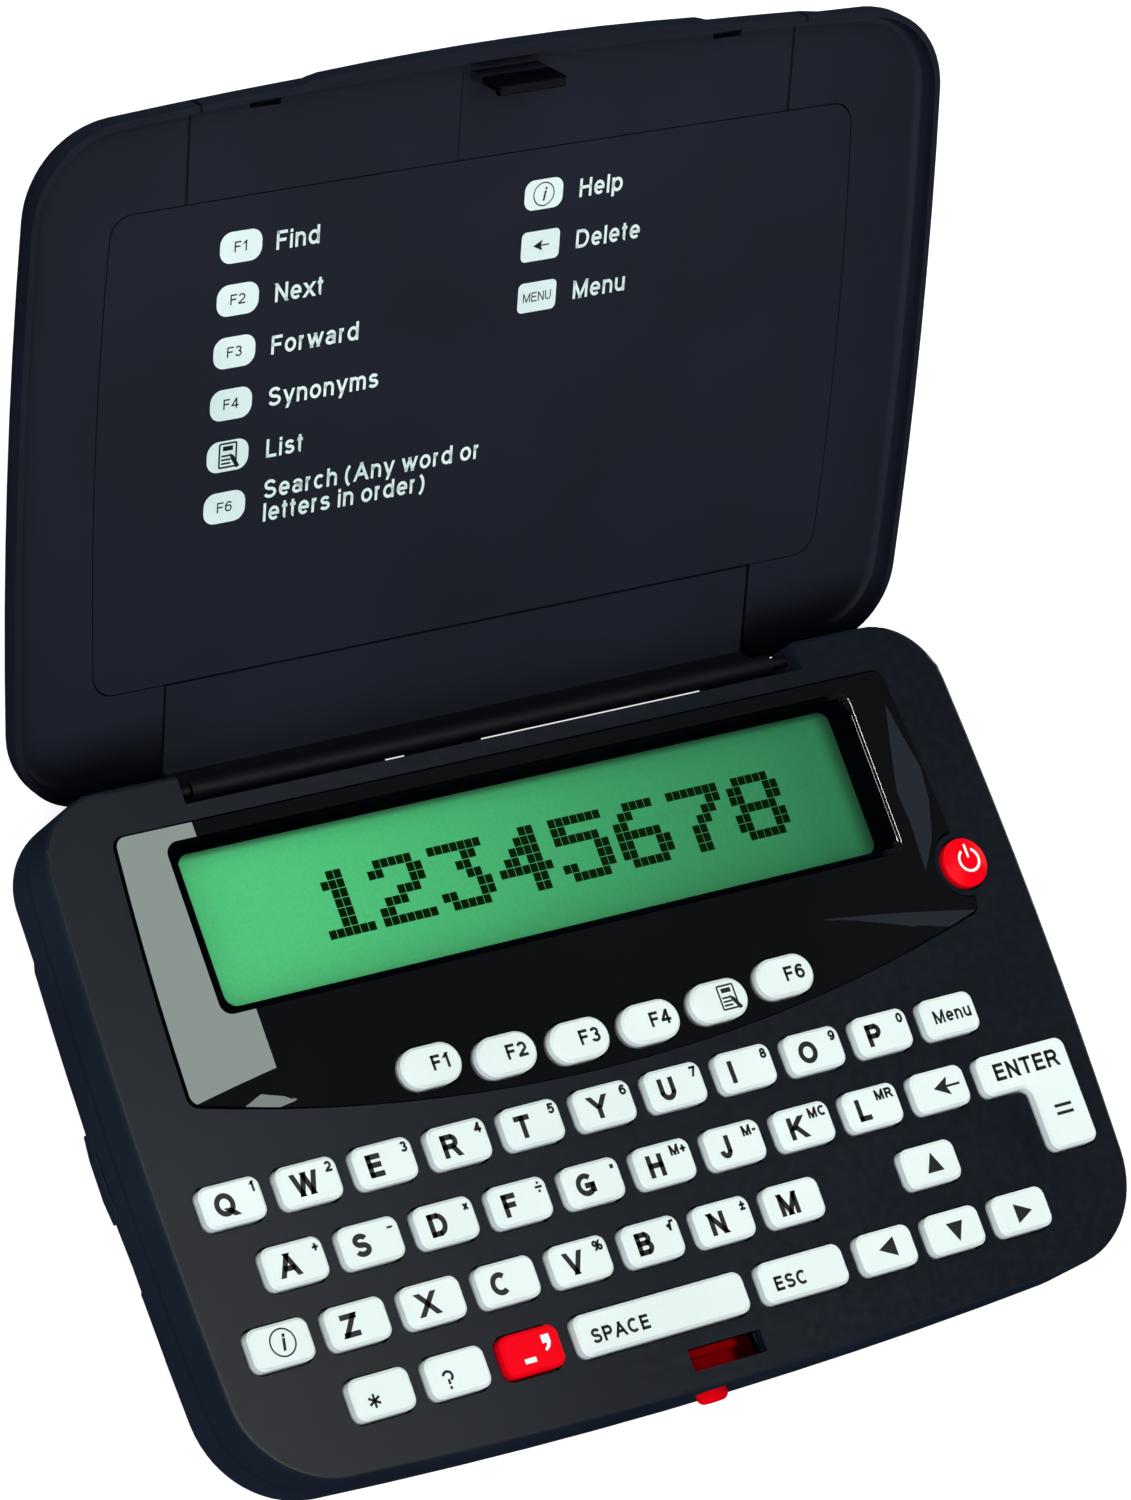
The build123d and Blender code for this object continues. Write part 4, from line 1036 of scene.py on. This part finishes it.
# Lamps: name, place, what they point at, size, brightness and colour.
LAMPS = [
    ("rear_softbox", (0.0135, 0.34, 0.5), (0.0135, 0.34, 0), (0.427, 0.52), 2.5, PALE_GREEN),
    ("camera_fill", (-0.75, -0.3, 1.2), CENTRE, (0.6, 0.6), 7.7, WHITE),
    ("front_fill", (0.3, -0.75, 0.8), CENTRE, (0.5, 0.5), 3.3, WHITE),
    ("low_fill", (-0.8, -0.7, 0.35), CENTRE, (0.5, 0.3), 8.5, COOL),
    ("rear_fill", (0.35, 1.0, 0.14), (0, 0, 0.03), (0.7, 0.25), 9.0, WHITE),
    ("right_card", (0.52, 0.12, 0.14), (0, 0, 0.012), (0.2, 0.08), 20.0, WHITE),
    ("left_strip", (-0.5, 0.12, 0.32), (0, 0.02, 0.01), (0.3, 0.012), 30.0, WHITE),
]
for lamp in LAMPS:
    area_light(*lamp)

CARD_HEIGHT = 500


def ceiling_card(name, outline, colour, strength):
    """Glowing card overhead that only shiny faces see, by its outline in millimetres."""
    card_mesh = bpy.data.meshes.new(name)
    corners = [(x * MM, y * MM, CARD_HEIGHT * MM) for x, y in outline]
    card_mesh.from_pydata(corners, [], [tuple(range(len(corners)))])
    card_material, _, card_shader = new_material(name)
    card_shader.inputs["Base Color"].default_value = (0, 0, 0, 1)
    card_shader.inputs["Specular IOR Level"].default_value = 0.0
    card_shader.inputs["Emission Color"].default_value = (*colour, 1)
    card_shader.inputs["Emission Strength"].default_value = strength
    card_mesh.materials.append(card_material)
    card = bpy.data.objects.new(name, card_mesh)
    card.visible_camera = False
    card.visible_diffuse = False
    bpy.context.scene.collection.objects.link(card)


CARD_BLUE = (0.6, 0.72, 0.95)
CARD_WARM = (1, 0.97, 0.92)
CARD_WHITE = (1, 1, 0.97)
# The first three give the bezel its soft reflections, the next one lights the ridge, and the
# last one gives the upper faces of the case their sheen.
FRONT_OUTLINE = [(360, 78), (362, 73), (372, 70.5), (384, 66.5), (395, 64), (407, 67.5), (412, 78)]
SIDE_OUTLINE = [
    (408.2, 147), (409.6, 139), (411.3, 131), (410.3, 123), (408.7, 118),
    (407.2, 114), (402.5, 107), (403.2, 119), (402.7, 126.5), (405.6, 138),
]
LEFT_OUTLINE = [(220.5, 64.5), (225, 66.3), (230, 64.8), (232.5, 63.3), (227, 62.6)]
RIM_OUTLINE = [(397.0, 117), (397.75, 115), (397.75, 146), (397.0, 148)]
SHEEN_OUTLINE = [(-90, -200), (200, -200), (200, 80), (-90, 80)]
ceiling_card("card_front", FRONT_OUTLINE, CARD_BLUE, strength=0.26)
ceiling_card("card_side", SIDE_OUTLINE, CARD_BLUE, strength=0.26)
ceiling_card("card_left", LEFT_OUTLINE, PALE_GREEN, strength=2.0)
ceiling_card("card_rim", RIM_OUTLINE, CARD_WHITE, strength=11.0)
ceiling_card("card_sheen", SHEEN_OUTLINE, CARD_WARM, strength=17.0)

# ---- camera ----------------------------------------------------------------
CAMERA_PLACE = Vector((-382.78, -108.41, 616.40)) * MM
CAMERA_RIGHT = Vector((0.82662, -0.33206, 0.45435))
CAMERA_DOWN = Vector((-0.18389, -0.92243, -0.33958))
CAMERA_FORWARD = Vector((0.53186, 0.19716, -0.82356))
camera_data = bpy.data.cameras.new("camera")
camera_data.lens = 144
camera_data.sensor_width = 36
camera_data.clip_start = 0.01
camera = bpy.data.objects.new("camera", camera_data)
camera_turn = Matrix((CAMERA_RIGHT, -CAMERA_DOWN, -CAMERA_FORWARD)).transposed()
camera.matrix_world = Matrix.Translation(CAMERA_PLACE) @ camera_turn.to_4x4()
bpy.context.scene.collection.objects.link(camera)
bpy.context.scene.camera = camera
bpy.context.scene.view_settings.view_transform = "Standard"
